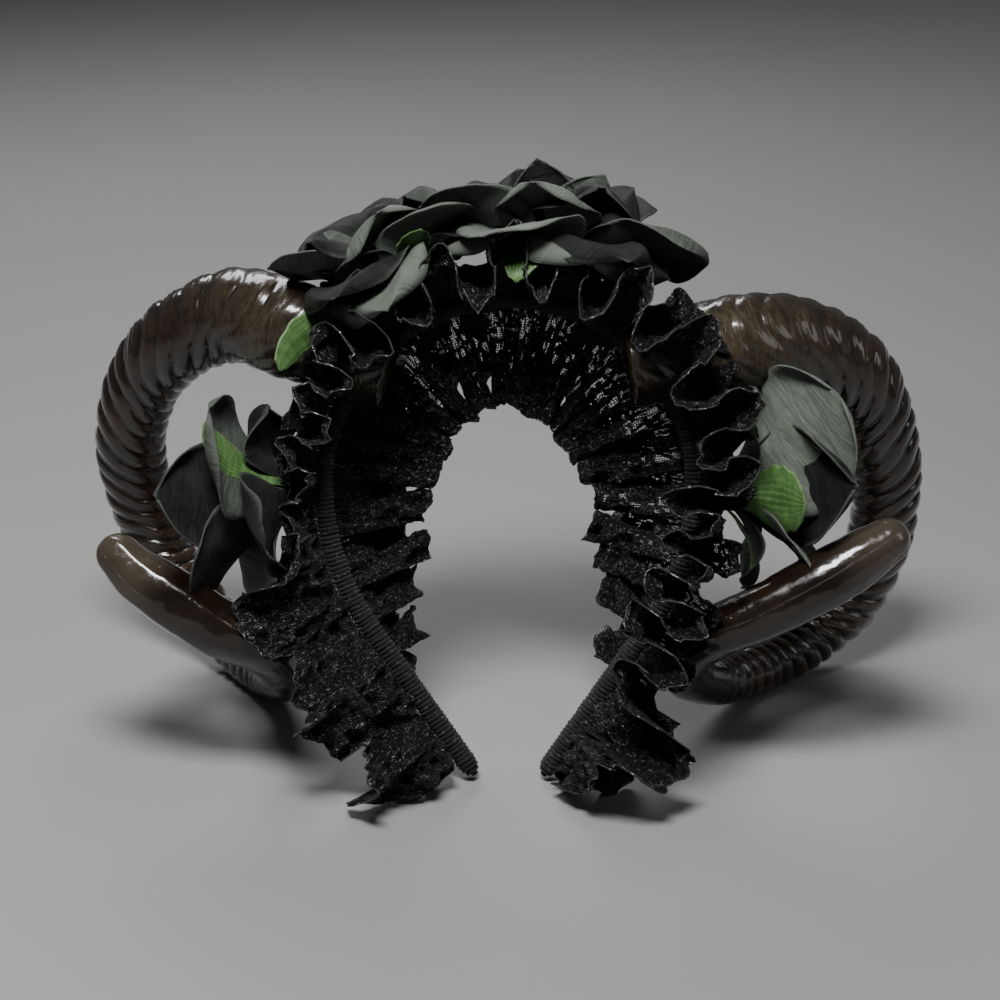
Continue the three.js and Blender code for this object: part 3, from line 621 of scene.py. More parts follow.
def curveThrough(knots, count):
    # a centripetal Catmull-Rom curve: places, evenly spaced, with how many knots lie before each
    knots = np.asarray(knots, float)
    last = len(knots) - 1
    ahead = np.vstack([2 * knots[0] - knots[1], knots, 2 * knots[-1] - knots[-2]])
    t = np.linspace(0, last, 6000)
    i = np.minimum(t.astype(int), last - 1)
    w = (t - i)[:, None]
    p0, p1, p2, p3 = ahead[i], ahead[i + 1], ahead[i + 2], ahead[i + 3]
    d0, d1, d2 = (np.sqrt(np.linalg.norm(b - a, axis=1))[:, None] for a, b in ((p0, p1), (p1, p2), (p2, p3)))
    m1 = ((p1 - p0) / d0 - (p2 - p0) / (d0 + d1) + (p2 - p1) / d1) * d1
    m2 = ((p2 - p1) / d1 - (p3 - p1) / (d1 + d2) + (p3 - p2) / d2) * d1
    fine = p1 + m1 * w + (3 * (p2 - p1) - 2 * m1 - m2) * w ** 2 + (2 * (p1 - p2) + m1 + m2) * w ** 3
    run = np.concatenate([[0], np.cumsum(np.linalg.norm(np.diff(fine, axis=0), axis=1))])
    place = np.interp(np.linspace(0, run[-1], count), run, t)
    return np.stack([np.interp(place, t, fine[:, k]) for k in range(3)], -1), place, run[-1]


def makeHorn(name, side, stations, seed):
    knots = [(side * out * horn["reach"], back * horn["depth"], up * horn["rise"])
             for out, back, up in zip(stations["out"], stations["back"], stations["up"])]
    rings, sides = horn["rings"], horn["sides"]
    path, place, length = curveThrough(knots, rings)
    share = np.linspace(0, 1, rings)
    girth = np.interp(place, np.arange(len(knots)), stations["girth"])
    soft = np.hanning(41) / np.hanning(41).sum()
    girth = np.convolve(np.pad(girth, 20, mode="edge"), soft, "valid")
    radius = girth * horn["girth"] / 2 * (1 + horn["tipFull"] * eased(share, 0.68, 0.84))
    ridged = 1 - horn["smoothTip"]
    crowding = np.concatenate([[0], np.cumsum(1 / radius[:-1])])
    phase = horn["ridges"] * crowding / np.interp(ridged, share, crowding)
    # rings that turn as little as they can from one to the next
    theta = 2 * pi * np.arange(sides) / sides
    tangents = np.gradient(path, axis=0)
    tangents /= np.linalg.norm(tangents, axis=1)[:, None]
    normal = np.array((0.0, 0.0, 1.0))
    radial = np.empty((rings, sides, 3))
    for i, onward in enumerate(tangents):
        normal = unit(normal - onward * (normal @ onward))
        other = np.cross(onward, normal)
        radial[i] = cos(theta)[:, None] * normal + horn["flat"] * sin(theta)[:, None] * other
    base = path[:, None, :] + radial * radius[:, None, None]
    # slanting, uneven ridges with fine ones on them, that fade out before the tip
    wide, narrow = horn["wobble"]
    wobble = rumple(base, 55, seed) * wide + rumple(base, 140, seed + 5) * narrow
    tilt = np.interp(share, *horn["slant"])[:, None] * sin(theta[None, :] * side + 0.6)
    turn = phase[:, None] + tilt + wobble
    part = turn - np.floor(turn)
    crest = np.clip(sin(pi * part ** 0.78), 0, 1) ** 0.62
    fine = 0.5 + 0.5 * sin(2 * pi * turn * 4 + 2.0 * rumple(base, 90, seed + 9))
    fade = (1 - eased(share, ridged - 0.05, ridged + 0.03))[:, None]
    root = eased(share, 0.0, 0.10)[:, None]
    strength = np.interp(share, *horn["strength"])[:, None]
    depth = horn["ridgeDepth"] * (0.78 + 0.22 * root) * fade * strength
    wornAndLit = 1 + horn["wear"] * rumple(base, 30, seed + 2)
    swell = depth * wornAndLit * (crest - horn["crest"]) + horn["fineRidge"] * fade * fine * crest
    broad, small = horn["dents"]
    swell += broad * rumple(base, 95, seed + 3) + small * rumple(base, 260, seed + 4)
    tip = eased(share, ridged - 0.02, 1.0)[:, None]
    crease = cos(theta[None, :] * 1.0 - side * 0.9 - 1.1 * tip)
    swell += horn["tipCrease"] * tip * (1 - tip * 0.4) * np.exp(-((crease - 0.75) / 0.12) ** 2)
    swell += horn["tipDents"] * tip * (1 - tip) * rumple(base, 210, seed + 6)
    grid = base + radial * swell[:, :, None]
    # a round end, from rings that shrink to almost nothing
    blunt = radius[-1] + 0.0001
    end, rim = path[-1], grid[-1] - path[-1]
    capTurns = np.linspace(0.12, 1, horn["capRings"])
    caps = [end + tangents[-1] * blunt * horn["tipRound"] * sin(c * pi / 2) + rim * max(cos(c * pi / 2), 0.03)
            for c in capTurns]
    grown = toRow(np.concatenate([grid, np.array(caps)]))
    grown -= turnToRow(np.array((0, 0, 1.0))) * (grown[..., 2].min() / math.cos(leanTurn))
    allShare = np.concatenate([share, 1 + capTurns * blunt / length])
    cloth = sideBySide((allShare * length)[:, None], (theta / (2 * pi))[None, :])
    level = horn["restLevel"]
    marks = {
        "ridge": np.concatenate([crest * fade + (1 - fade) * level, np.full((len(caps), sides), level)]),
        "base": (1 - eased(allShare, 0.05, 0.26))[:, None],
        "tip": eased(allShare, 0.72, 1.0)[:, None],
        "low": (eased(allShare, 0.42, 0.56) * (1 - eased(allShare, 0.68, 0.76)))[:, None],
    }
    called = f"horn_{name}_resin"
    return addPiece(called, gridMesh(called, grown, cloth, marks, loop=True, capped=True), hornResin)


for hornName, hornSide, hornSeed in (("right", -1, 3.1), ("left", 1, 8.4)):
    hornPiece = makeHorn(hornName, hornSide, hornStations[hornName], hornSeed)
    bodyWork(hornPiece, "horn", f"horn_{hornName}")
print("horns cast")


# gathered lace ruffles

lace = {
    "width": 0.042, "thick": 0.00035, "loop": 0.0031, "uneven": 0.12, "drift": 0.5, "mood": 0.55,
    "pleat": 0.0010, "crumple": 0.0040, "crinkle": 0.0006, "puff": 0.009, "sag": 0.005, "notch": 0.36,
    "hem": 0.00030, "picot": 0.00044, "picotEvery": 5, "hemWave": 0.0008, "endRound": 0.055,
    "clear": 0.0006, "stepsPerFlute": 34, "across": 30,
}
# at is the share of the band, flare the lean from straight forward (or back) outwards, width a share of the lace,
# pace how close the flutes are, sheer how much of the net between the flowers is open
ruffles = {
    "front": {
        "facing": 1, "flutes": 20, "start": 0.025, "end": 0.985, "seat": 45, "seed": 2.3, "flat": (0.036, 0.86),
        "under": (0.024, 0.70), "scallop": 0.0085, "scallopDepth": 0.0018,
        "rows": {
            "at": (0, 0.04, 0.095, 0.15, 0.2, 0.25, 0.31, 0.4, 0.52, 0.6, 0.68, 0.76, 0.85, 0.92, 1),
            "flare": (42, 50, 46, 50, 44, 16, 10, 12, 15, 14, 18, -14, -8, 24, 34),
            "swing": (12, 15, 18, 17, 20, 14, 15, 19, 20, 22, 18, 16, 18, 24, 20),
            "width": (0.96, 1.08, 0.8, 1.04, 0.8, 0.42, 0.5, 0.72, 0.76, 0.78, 0.74, 0.7, 0.72, 0.92, 1.06),
            "pace": (0.6, 0.55, 0.6, 0.55, 0.7, 1.05, 1.1, 1.0, 1.1, 1.0, 1.0, 1.2, 1.1, 0.65, 0.55),
            "sheer": (0.1, 0.1, 0.1, 0.1, 0.2, 0.2, 0.2, 0.3, 0.3, 0.2, 0.2, 0.5, 0.9, 0.2, 0.1),
        },
    },
    "back": {
        "facing": -1, "flutes": 23, "start": 0.1, "end": 0.9, "seat": 60, "seed": 6.1, "flat": (0.036, 0.8),
        "scallop": 0.0135, "scallopDepth": 0.0022,
        "rows": {
            "at": (0, 0.12, 0.2, 0.32, 0.5, 0.66, 0.78, 0.88, 1),
            "flare": (-10, -30, -60, -68, -64, -68, -60, -30, -10),
            "swing": (8, 12, 14, 14, 15, 15, 14, 12, 8),
            "width": (0.4, 0.5, 0.8, 0.96, 0.9, 1, 0.82, 0.5, 0.4),
            "pace": (1, 1, 0.9, 0.9, 1.1, 0.9, 0.9, 1, 1),
            "sheer": (0.1, 0.1, 0.2, 0.45, 0.9, 0.9, 0.6, 0.3, 0.1),
        },
    },
}
# the front ruffle has a second, narrower strip, whose flutes fall between those of the first
underLayer = {"width": 0.62, "shift": 0.38, "lean": 38, "seed": 4.4, "steps": 26, "across": 16}


def ruffleGrid(shape, under=None):
    # points of the lace in the row frame, its cloth map and how far each point is from gathered to free edge
    rows, facing = shape["rows"], shape["facing"]
    layer = under or {"width": 1, "shift": 0, "lean": 0, "seed": 0, "steps": lace["stepsPerFlute"],
                      "across": lace["across"]}
    seed, flutes = shape["seed"] + layer["seed"], shape["flutes"]
    run = np.linspace(0, 1, flutes * layer["steps"] + 1)[:, None]
    share = np.linspace(0, 1, layer["across"] + 1)[None, :]
    at = shape["start"] + (shape["end"] - shape["start"]) * run
    point, out, along = (v[:, None, :] for v in bandAt(at[:, 0]))
    flare, swing, width, pace, sheer = (
        columnAt(rows, key, at[:, 0])[:, None] for key in ("flare", "swing", "width", "pace", "sheer"))
    # flutes, each a little early or late and large or small
    drift = lace["uneven"] * (sin(6 * pi * run) + sin(7 * pi * run))
    drift = drift + lace["drift"] * wander(run * flutes * 0.42, seed)
    paces = np.cumsum(pace, axis=0)
    phase = 2 * pi * (flutes * paces / paces[-1] + drift + layer["shift"])
    mood = 1 + lace["mood"] * wander(run * flutes * 0.9, seed + 1.5)
    lay = radians(flare + layer["lean"] + swing * mood * sin(phase) * share ** 0.6)
    lay = lay + radians(4.0) * share ** 2 * sin(3 * phase + 5 * run)
    # the cut: scallops along the edge, round ends, and lobes where the flutes are wide apart
    scallops = run * shape["flat"][1] / shape["scallop"]
    hem = shape["scallopDepth"] * (np.abs(sin(pi * scallops)) - 0.6) * eased(share, 0.6, 1)
    rounding = 1 - np.clip(np.minimum(run, 1 - run) / lace["endRound"], 0, 1)
    free = eased(-pace, -0.9, -0.62)
    bulge = np.abs(sin(phase / 2 + 0.3))
    lobes = np.sqrt(1 - 0.92 * rounding ** 2) * (1 - lace["notch"] * free * (1 - bulge ** 0.55))
    length = width * layer["width"] * lace["width"] * share * lobes * (1 + 0.06 * wander(run * 60, 9.0)) + hem
    grid = onSection(point, out, facing * shape["seat"], band["gap"] + lace["clear"])
    grid = grid + facing * forward * (length * cos(lay))[..., None] + out * (length * sin(lay))[..., None]
    looped = lace["loop"] / pace * (1 - 0.4 * free) * mood
    grid = grid - along * (looped * share ** 0.8 * sin(2 * phase))[..., None]
    # pleats at the seam, waves at the hem, and crumples square to the cloth
    square = np.cross(along, facing * forward * cos(lay)[..., None] + out * sin(lay)[..., None])
    square = square * np.where(square @ forward < 0, -1, 1)[..., None]
    pleats = lace["pleat"] * (1 - share) * eased(share, 0, 0.12) * sin(6.5 * phase + 2 * sin(17 * run))
    waves = lace["hemWave"] * share ** 3 * sin(5.3 * phase + 3 * sin(11 * run))
    loose = eased(share, 0.05, 0.6)
    puff = free * (lace["puff"] * bulge * sin(pi * share ** 0.8) + lace["sag"] * rumple(grid, 290, seed + 2))
    soft = (1 - 0.6 * free) * rumple(grid, 210, seed) + 1.1 * free * rumple(grid, 85, seed + 3)
    grid = grid + square * (pleats + waves + puff + lace["crumple"] * soft * loose)[..., None]
    sharp = np.stack([rumple(grid, 640, seed + k) for k in (5.0, 17.0, 29.0)], -1)
    grid = grid + sharp * (lace["crinkle"] * loose * (1 - 0.5 * free))[..., None]
    row = offFloor(toRow(grid), lace["clear"])
    lines = (row[:, -1], row[:, layer["across"] // 2])
    steps = sum(np.linalg.norm(np.diff(line, axis=0), axis=1) * 0.5 for line in lines)
    ahead = np.concatenate([[0], np.cumsum(steps)])[:, None]
    cloth = sideBySide(ahead, share * lace["width"] * layer["width"] * 0.9)
    return row, cloth, {"edge": share, "sheer": sheer}


def gatheredLace(name, shape, flat, under=None, hem=True):
    # one strip of lace with its corded edge, gathered on the band
    row, cloth, marks = ruffleGrid(shape, under)
    piece = bodyWork(addPiece(name, gridMesh(name, row, cloth, marks), blackLace), "lace")
    if hem:
        hemMesh = runTree(f"{name}_hem", pointMesh("hem_line", row[:, -1]), hemGroup, {
            "Thread": lace["hem"], "Picot": lace["picot"], "Every": lace["picotEvery"], "Seed": 5,
            "Finish": hemThread})
        bodyWork(newObject(f"{name}_hem", hemMesh), "lace")
    thicken(piece, lace["thick"])
    print(name, "built area", round(areaOf(row), 4), "flat area", round(flat[0] * flat[1], 4))
    return piece


def hemTree():
    # a corded edge along the line, with a small loop of thread on every few points
    w, take = startTree("laceHem", [("Line", "Geometry"), ("Thread", "Float"), ("Picot", "Float"),
                                    ("Every", "Int"), ("Seed", "Int"), ("Finish", "Material")])
    line = w.node("GeometryNodeMeshToCurve", {}, {"Mesh": take["Line"]})
    section = w.node("GeometryNodeCurvePrimitiveCircle", {}, {"Resolution": 5, "Radius": take["Thread"]})
    cord = w.node("GeometryNodeCurveToMesh", {}, {"Curve": line, "Profile Curve": section, "Fill Caps": True})
    bead = w.node("GeometryNodeMeshIcoSphere", {}, {"Radius": take["Picot"], "Subdivisions": 1})
    index = w.node("GeometryNodeInputIndex")
    left = w.node("ShaderNodeMath", {"operation": "MODULO"}, {0: index, 1: take["Every"]})
    chosen = w.node("FunctionNodeCompare", {"data_type": "FLOAT", "operation": "LESS_THAN"}, {0: left, 1: 0.5})
    size = w.node("FunctionNodeRandomValue", {"data_type": "FLOAT"}, {2: 0.75, 3: 1.25, "Seed": take["Seed"]}, 1)
    beads = w.node("GeometryNodeInstanceOnPoints", {},
                   {"Points": take["Line"], "Selection": chosen, "Instance": bead, "Scale": size})
    both = w.tree.nodes.new("GeometryNodeJoinGeometry")
    for signal in (cord, beads):
        w.tree.links.new(signal.socket, both.inputs[0])
    return endTree(w, Signal(w, both.outputs[0]), take["Finish"])


hemGroup = hemTree()
for ruffleName, ruffleShape in ruffles.items():
    ruffle = f"ruffle_{ruffleName}"
    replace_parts(gatheredLace(f"{ruffle}_lace", ruffleShape, ruffleShape["flat"]), ruffle)
    if "under" in ruffleShape:
        gatheredLace(f"{ruffle}_underlace", ruffleShape, ruffleShape["under"], underLayer, False)


# roses

rose = {
    "petalLength": 0.044, "petalWidth": 0.034, "foot": 0.14, "cup": 0.3, "fullness": 1.32, "petalThick": 0.0005,
    "leafThick": 0.0004, "leafSeat": -0.0013, "outerDisc": 0.006, "innerDisc": 0.0046, "discHigh": 0.0026,
    "gap": 0.0003, "stem": 0.0022, "cupHigh": 0.004, "lift": 0.006, "budRadius": 0.0046, "budHeight": 0.018,
    "pinhole": 0.0004, "tuck": 0.001, "clear": 0.0008, "tipReach": 0.0016, "fineCrimp": 0.00042, "crimp": 0.0009,
    "steps": 30, "across": 20,
}


def petal(turn, opening, long, wide, curl, tone, **more):
    # turn goes round the flower from its front, opening from its middle line; long and wide are shares of a
    # petal; curl and twist turn the blade to its tip, tone pales it (mostly painted light on petals that face the
    # lamp), roll turns its rims back, point sharpens it
    return {"turn": turn, "open": opening, "long": long, "wide": wide, "curl": curl, "tone": tone,
            "twist": 0, "roll": 0.25, "point": 0, **more}


# at is the share of the band; middle and fallen are rings of petals of one size, and the petals that they pick
# out are painted paler as painted light where they face the lamp
roses = {
    "crown_right": {
        "at": 0.42, "ahead": 0.1, "along": 0.1, "seed": 1.0,
        "middle": {"turns": (10, 80, 155, 225, 300), "open": 32, "long": 0.7, "wide": 0.78, "paintedLight": (0,)},
        "fallen": {"turns": (350, 110, 190, 250), "open": 84, "long": 0.74, "wide": 0.86, "paintedLight": (0,)},
        "inner": [
            petal(20, 16, 0.5, 0.52, 14, 0.1),
            petal(140, 14, 0.58, 0.52, 12, 0.2),
            petal(260, 16, 0.6, 0.52, 16, 0.5),
        ],
        "outer": [
            petal(335, 72, 0.84, 0.9, 24, 0.1, roll=0.7, point=0.5),
            petal(270, 50, 0.86, 0.74, 6, 0.9, twist=24, point=0.5),
            petal(205, 40, 0.84, 0.84, 16, 0.2),
            petal(135, 42, 0.82, 0.84, 20, 0.4, point=0.4),
            petal(68, 62, 0.82, 0.86, 20, 0.7, twist=-20),
        ],
        "sepals": [
            petal(304, 98, 1.08, 0.36, 10, 0.1, twist=76),
            petal(34, 60, 0.72, 0.34, -10, 0, twist=-30),
        ],
    },
    "crown_left": {
        "at": 0.53, "ahead": 0.12, "along": -0.05, "seed": 2.0,
        "middle": {"turns": (40, 110, 180, 250, 330), "open": 34, "long": 0.72, "wide": 0.8, "paintedLight": (4,)},
        "fallen": {"turns": (20, 75, 115, 205, 285), "open": 86, "long": 0.78, "wide": 0.86, "paintedLight": (0, 4)},
        "inner": [
            petal(290, 13, 0.7, 0.56, 6, 0.1, twist=70, point=0.7),
            petal(85, 15, 0.66, 0.56, 8, 0.6, twist=-70, point=0.6),
            petal(180, 16, 0.6, 0.52, 12, 0.2),
        ],
        "outer": [
            petal(326, 78, 0.92, 0.94, 16, 1.0, twist=16, point=0.4),
            petal(276, 78, 0.98, 0.8, 8, 0.6, twist=36, point=0.3),
            petal(222, 54, 0.86, 0.92, 20, 0.15),
            petal(140, 50, 0.88, 0.92, 20, 0.15),
            petal(82, 84, 1.06, 0.66, 8, 0.45, twist=-36, roll=0.8),
            petal(32, 76, 0.88, 0.9, 22, 0.12, roll=0.8, point=0.5),
        ],
        "sepals": [
            petal(340, 82, 0.74, 0.42, 60, 0, twist=10),
            petal(60, 92, 0.5, 0.34, 30, 0.3, twist=-30),
        ],
    },
    "side_right": {
        "at": 0.262, "ahead": -0.05, "along": 0.02, "seed": 3.0,
        "middle": {"turns": (60, 185, 300), "open": 15, "long": 0.6, "wide": 0.55, "paintedLight": ()},
        "fallen": {"turns": (110, 330), "open": 80, "long": 0.66, "wide": 0.85, "paintedLight": ()},
        "inner": [
            petal(350, 14, 0.6, 0.52, 10, 0.3),
            petal(110, 14, 0.62, 0.52, 10, 0.1),
            petal(235, 14, 0.6, 0.52, 10, 0.1),
        ],
        "outer": [
            petal(54, 52, 0.92, 1, 30, 0.5, roll=0.6, point=0.5),
            petal(8, 34, 1.04, 0.84, 14, 0.15, point=0.6, roll=0.5),
            petal(308, 50, 0.98, 0.8, 10, 0.3, point=0.3),
            petal(258, 80, 0.86, 0.44, 6, 1.0, twist=-50),
            petal(165, 42, 0.9, 0.9, 16, 0.1),
        ],
        "sepals": [
            petal(44, 50, 0.95, 0.4, 26, 0.1),
            petal(160, 70, 0.6, 0.34, 10, 0.4),
        ],
    },
    "side_left": {
        "at": 0.735, "ahead": -0.05, "along": -0.12, "seed": 4.0,
        "middle": {"turns": (90, 210, 330), "open": 14, "long": 0.58, "wide": 0.52, "paintedLight": ()},
        "fallen": {"turns": (100, 270), "open": 80, "long": 0.66, "wide": 0.85, "paintedLight": ()},
        "inner": [
            petal(30, 14, 0.6, 0.52, 10, 0.1),
            petal(150, 14, 0.62, 0.52, 10, 0.1),
            petal(270, 14, 0.6, 0.52, 10, 0.2),
        ],
        "outer": [
            petal(308, 46, 1.06, 1.1, 12, 0.9, twist=32, roll=0.4),
            petal(0, 28, 0.98, 0.94, 24, 0.1, point=0.8, roll=0.9),
            petal(66, 52, 1.0, 0.5, 6, 0.9, twist=30),
            petal(128, 50, 0.9, 0.84, 16, 0.2),
            petal(218, 44, 0.9, 0.9, 16, 0.3),
        ],
        "sepals": [
            petal(12, 50, 0.68, 0.7, -20, 0),
            petal(100, 78, 0.6, 0.34, 10, 0.4),
        ],
    },
}


def roseFrame(shape):
    point, out, along = (v[0] for v in bandAt(np.array([shape["at"]])))
    axis = unit(out + forward * shape["ahead"] + along * shape["along"])
    front = unit(forward - axis * (forward @ axis))
    hub = point + axis * (band["thick"] / 2 + rose["lift"])
    return {"hub": hub, "axis": axis, "front": front, "side": np.cross(axis, front)}


def petalGrid(flower, row, foot, radius, seed, leaf=False):
    # narrow foot, cupped blade, tip that curls away from the flower's middle; a leaf is ribbed and notched
    turn, axis = radians(row["turn"]), flower["axis"]
    radial = flower["front"] * cos(turn) + flower["side"] * sin(turn)
    sideways = np.cross(axis, radial)
    length, half = row["long"] * rose["petalLength"], row["wide"] * rose["petalWidth"] / 2
    u = np.linspace(0, 1, rose["steps"] + 1)
    aside = np.linspace(-1, 1, rose["across"] + 1)
    down, over = u[:, None], aside[None, :]
    bend = radians(row["open"] * (0.55 + 0.65 * u) + row["curl"] * u ** 3)
    bend = bend + radians(6) * wander(u * 2.2, seed) * u
    stride = np.diff(u, prepend=0) * length
    middle = np.cumsum(stride * sin(bend))[:, None] * radial + np.cumsum(stride * cos(bend))[:, None] * axis
    spine = flower["hub"] + axis * foot + radial * (radius - rose["tuck"]) + middle
    inward = axis * sin(bend)[:, None] - radial * cos(bend)[:, None]
    onward = radial * sin(bend)[:, None] + axis * cos(bend)[:, None]
    turned = radians(row["twist"]) * np.minimum(1, 2 * down)
    # the outline of the blade, then its cup across
    full = 1.0 if leaf else rose["fullness"]
    widening = eased(u, 0, 0.72) if leaf else sin(pi / 2 * eased(u, -0.1, 0.62))
    blade = rose["foot"] + (1 - rose["foot"]) * widening
    blunt = np.sqrt(1 - 0.985 * u ** 6)
    sharp = np.clip(1 - u ** 3.4, 0.02, 1) ** 0.8
    spread = half * full * blade * (blunt * (1 - row["point"]) + sharp * row["point"])
    bow = rose["cup"] * (1 - 0.7 * u * u)[:, None] * aside ** 2
    marks = {"edge": np.maximum(np.abs(over), down ** 2), "tone": row["tone"]}
    if leaf:
        marks["rib"] = ribs = np.abs(sin(pi * (over * (3.2 + row["wide"] * 3) + 0.5)))
        bow = bow * 0.8 + 0.10 * ribs * eased(down, 0.04, 0.3) * (0.4 / max(row["wide"], 0.3))
        spread = spread * (1 + 0.045 * sin(u * 46) * eased(u, 0.2, 0.5))
    else:
        rims = np.clip(np.abs(over) - 0.62, 0, 1) / 0.38
        bow = bow * 1.25 - row["roll"] * 0.75 * eased(down, 0.3, 0.85) * rims ** 2
        bow = bow + 0.10 * eased(down, 0.3, 1) * np.abs(over) * wander(over * 1.3 + down * 4.1, seed + 7)
    x = spread[:, None] * (over * cos(turned) - bow * sin(turned))
    y = spread[:, None] * (over * sin(turned) + bow * cos(turned))
    tipReach = rose["tipReach"] * (0.4 + row["point"]) * eased(down, 0.82, 1) * (1 - over ** 2)
    grid = spine[:, None, :] + x[..., None] * sideways + y[..., None] * inward[:, None, :]
    grid = grid + tipReach[..., None] * onward[:, None, :]
    crimp = rumple(grid, 170, seed) * rose["fineCrimp"] + rumple(grid, 75, seed + 4) * rose["crimp"]
    grid = grid + (crimp * eased(down, 0.1, 0.5))[..., None] * inward[:, None, :]
    cloth = sideBySide(down * length, spread[:, None] * over) + np.array((seed * 0.31, seed * 0.17))
    return offFloor(toRow(grid), rose["clear"]), cloth, marks


def around(flower, angles):
    # directions square to a rose's middle line
    return cos(angles)[..., None] * flower["front"] + sin(angles)[..., None] * flower["side"]


def turnedGrid(flower, profile, sides):
    # rings about a rose's middle line from radius and height pairs
    outwards = around(flower, 2 * pi * np.arange(sides) / sides)
    return toRow(np.array([flower["hub"] + r * outwards + h * flower["axis"] for r, h in profile]))


def smoothProfile(profile, count):
    profile = np.array(profile, float)
    run = np.concatenate([[0], np.cumsum(np.linalg.norm(np.diff(profile, axis=0), axis=1))])
    at = np.linspace(0, run[-1], count)
    return list(zip(np.interp(at, run, profile[:, 0]), np.interp(at, run, profile[:, 1])))


def ringRows(shape, ring):
    # a ring of petals given by its turns alone, each a little uneven in size
    rows, size = [], shape[ring]
    for i, turn in enumerate(size["turns"]):
        odd = math.sin(2.6 * i + 1.9 * shape["seed"])
        # painted light: the picked petals are painted pale where they face the lamp; the rest get a small random
        # tone
        tone = 0.8 if i in size["paintedLight"] else 0.07 + 0.07 * odd
        rows.append(petal(turn + 6 * odd, size["open"] + 6 * odd, size["long"] + 0.07 * odd, size["wide"],
                          20 + 8 * odd, tone, point=0.45 + 0.3 * odd, roll=0.8, twist=12 * odd))
    return rows


def asOneCloth(name, flower, rows, foot, radius, seeds, leaf=False):
    # petals or leaves as one mesh, with the flat size of the cloth that they are cut from and their area
    grids = [petalGrid(flower, row, foot, radius, seed, leaf) for row, seed in zip(rows, seeds)]
    mesh = joinMeshes(name, [gridMesh(f"{name}_{i}", *grid) for i, grid in enumerate(grids)])
    area = sum(areaOf(grid[0]) for grid in grids)
    wide = max(row["wide"] for row in rows) * rose["petalWidth"]
    return mesh, (round(wide, 4), round(area / wide / 0.8, 4)), round(area, 6)


def addWhorl(name, flower, rows, foot, radius, seed, node):
    # the petals of one ring as one sheet of cut cloth, and the small disc that they are glued to
    top, hole = foot + rose["discHigh"], rose["pinhole"]
    disc = turnedGrid(flower, smoothProfile([(hole, foot), (radius, foot), (radius, top), (hole, top)], 16), 20)
    discMesh = gridMesh(f"{name}_disc", disc, np.zeros((*disc.shape[:2], 2)), loop=True, capped=True)
    discPiece = bodyWork(addPiece(f"{name}_disc", discMesh, petalCloth), "petal")
    seeds = [seed + i * 1.7 for i in range(len(rows))]
    mesh, flat, area = asOneCloth(name, flower, rows, foot + rose["discHigh"] / 2, radius, seeds)
    piece = thicken(bodyWork(addPiece(name, mesh, petalCloth), "petal", node), rose["petalThick"])


def addBud(name, flower, foot, seed, node):
    # three strips wound round one another into a tight bud
    meshes = []
    high, wide = rose["budHeight"], rose["budRadius"]
    wind, rise = np.linspace(0, 1, 44)[:, None], np.linspace(0, 1, 15)[None, :]
    for i in range(3):
        angle = 2 * pi * (i / 3 + wind * 1.15) + 0.25 * rise
        outer = (0.18 + 0.82 * wind) * wide * (0.78 + 0.22 * i / 2)
        swell = np.interp(rise, (0, 0.3, 0.55, 0.85, 1), (0.5, 0.86, 1.0, 0.72, 0.50))
        radius = outer * swell + 0.0004 * sin(3 * angle) * rise
        height = foot + high * rise * (0.80 + 0.16 * wind - 0.05 * i + 0.10 * sin(pi * wind))
        grid = flower["hub"] + radius[..., None] * around(flower, angle) + height[..., None] * flower["axis"]
        cloth, marks = sideBySide(angle * wide + seed, rise * high), {"edge": rise, "tone": 0.12 + 0.1 * i}
        meshes.append(gridMesh(f"{name}_{i}", toRow(grid), cloth, marks))
    thicken(bodyWork(addPiece(name, joinMeshes(name, meshes), petalCloth), "petal", node), rose["petalThick"])


def addCalyx(name, flower, sepals, seed, node):
    # stem and cup turned about the middle line, and the green leaves that grow from under the cup
    reach = -rose["lift"] - band["thick"] / 2 * 0.8
    stem, cup, wide, hole = rose["stem"], rose["cupHigh"], rose["outerDisc"], rose["pinhole"]
    profile = [(hole, reach), (stem, reach), (stem * 0.86, -cup * 1.25), (stem * 1.25, -cup),
               (wide * 0.9, -0.0018), (wide, -0.0008), (wide * 0.94, -0.0003), (hole, -0.0003)]
    grid = turnedGrid(flower, smoothProfile(profile, 40), 26)
    stemPiece = bodyWork(addPiece(name, gridMesh(name, grid, loop=True, capped=True), stemTape), "leaf", node)
    seeds = [seed + 20 + i for i in range(len(sepals))]
    mesh, flat, area = asOneCloth(f"{name}_leaves", flower, sepals, rose["leafSeat"], wide, seeds, True)
    leaves = thicken(bodyWork(addPiece(f"{name}_leaves", mesh, leafSatin), "leaf"), rose["leafThick"])


innerFoot = rose["discHigh"] + rose["gap"]
budFoot = innerFoot + rose["discHigh"] + rose["gap"]
for roseName, roseShape in roses.items():
    flower, called, seed = roseFrame(roseShape), f"rose_{roseName}", roseShape["seed"]
    outer = roseShape["outer"] + ringRows(roseShape, "fallen")
    inner = roseShape["inner"] + ringRows(roseShape, "middle")
    for ring, rows, foot, later in (("outer", outer, 0, 0), ("inner", inner, innerFoot, 9)):
        addWhorl(f"{called}_{ring}_cloth", flower, rows, foot, rose[f"{ring}Disc"], seed + later,
                 f"{called}_{ring}_petals")
    addBud(f"{called}_bud_cloth", flower, budFoot, seed, f"{called}_bud")
    addCalyx(f"{called}_calyx_stem", flower, roseShape["sepals"], seed, f"{called}_calyx")
print("roses made")


# floor, light and camera

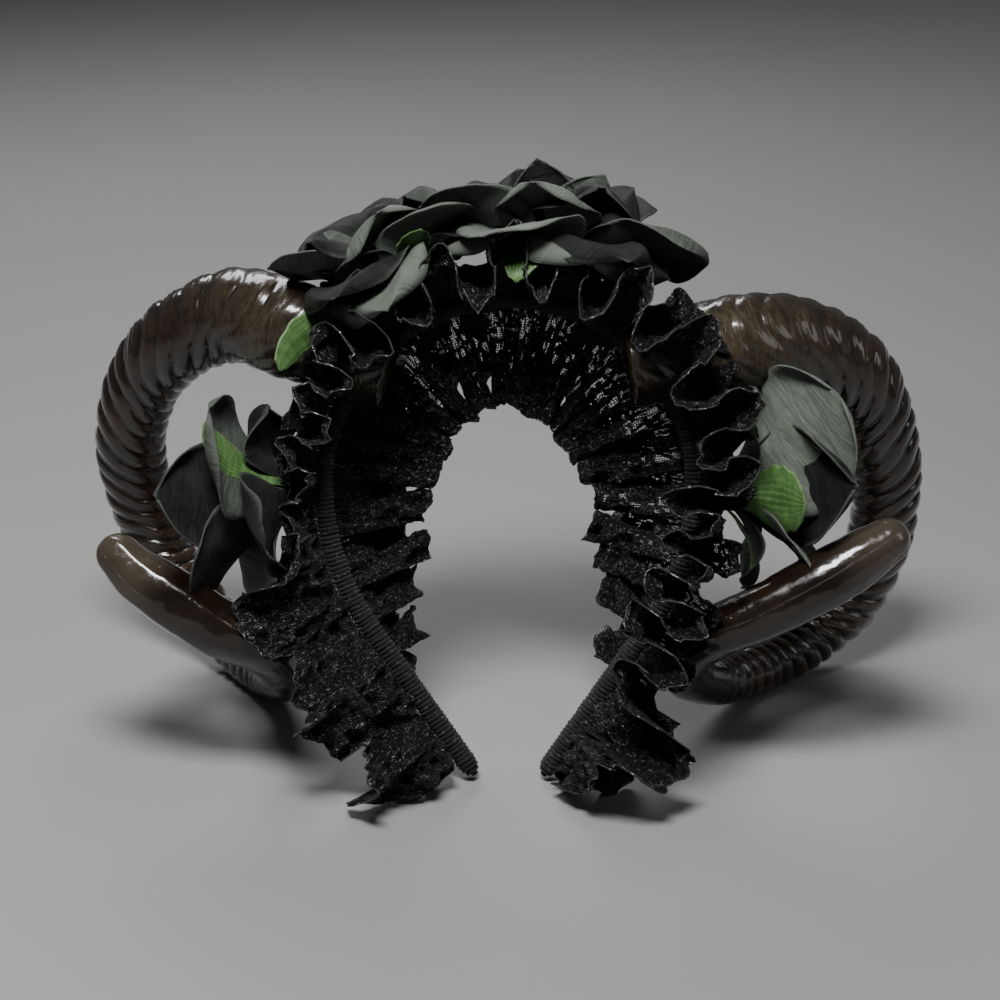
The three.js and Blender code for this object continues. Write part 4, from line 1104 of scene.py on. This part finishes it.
room = {
    "floorSize": 30.0, "floorColour": (0.27, 0.266, 0.262), "airColour": (0.9, 0.94, 1.0), "ambient": 0.09,
    "target": (-0.0031, -0.0072, 0.088), "distance": 0.75, "elevation": 23, "fieldOfView": 24.28,
}
softboxes = {
    "keySoftbox": {"place": (-0.08, -0.34, 0.80), "aim": (0.0, 0.0, 0.09), "size": (0.30, 0.20), "power": 10.5},
    "sideFill": {"place": (0.9, -0.25, 0.5), "aim": (0.0, 0.0, 0.1), "size": (0.3, 0.5), "power": 0.8},
    "rearGlow": {"place": (-0.25, 0.8, 0.75), "aim": (0.0, 0.05, 0.1), "size": (0.7, 0.35), "power": 6.0},
}


def addFloor():
    half = room["floorSize"] / 2
    mesh = bpy.data.meshes.new("floor")
    mesh.from_pydata([(-half, -half, 0), (half, -half, 0), (half, half, 0), (-half, half, 0)], [], [(0, 1, 2, 3)])
    f = Finish("floorPaper", Specular_IOR_Level=0.3)
    grain = f.cloud(f.place(), 6, 4)
    low = tuple(0.93 * c for c in room["floorColour"])
    floor = addPiece("floor", mesh, f.feed(Base_Color=f.colour(grain, low, room["floorColour"]),
                                           Roughness=0.55 + 0.1 * grain))


def addSoftbox(name, place, aim, size, power):
    light = bpy.data.lights.new(name, "AREA")
    light.shape = "RECTANGLE"
    light.size, light.size_y = size
    light.energy = power
    lamp = newObject(name, light)
    lamp.location = place
    lamp.rotation_euler = (Vector(aim) - Vector(place)).to_track_quat("-Z", "Y").to_euler()


def addCamera():
    tilt = math.radians(room["elevation"])
    away = Vector((0, -math.cos(tilt), math.sin(tilt)))
    camera = newObject("camera", bpy.data.cameras.new("camera"))
    camera.data.sensor_fit = "HORIZONTAL"
    camera.data.angle = math.radians(room["fieldOfView"])
    camera.data.clip_start, camera.data.clip_end = 0.01, 20
    camera.location = Vector(room["target"]) + away * room["distance"]
    camera.rotation_euler = (-away).to_track_quat("-Z", "Y").to_euler()
    bpy.context.scene.camera = camera


addFloor()
for boxName, box in softboxes.items():
    addSoftbox(boxName, **box)
world = bpy.data.worlds.new("studioAir")
world.use_nodes = True
air = world.node_tree.nodes["Background"].inputs
air["Color"].default_value = (*room["airColour"], 1)
air["Strength"].default_value = room["ambient"]
bpy.context.scene.world = world
addCamera()
print("room lit")
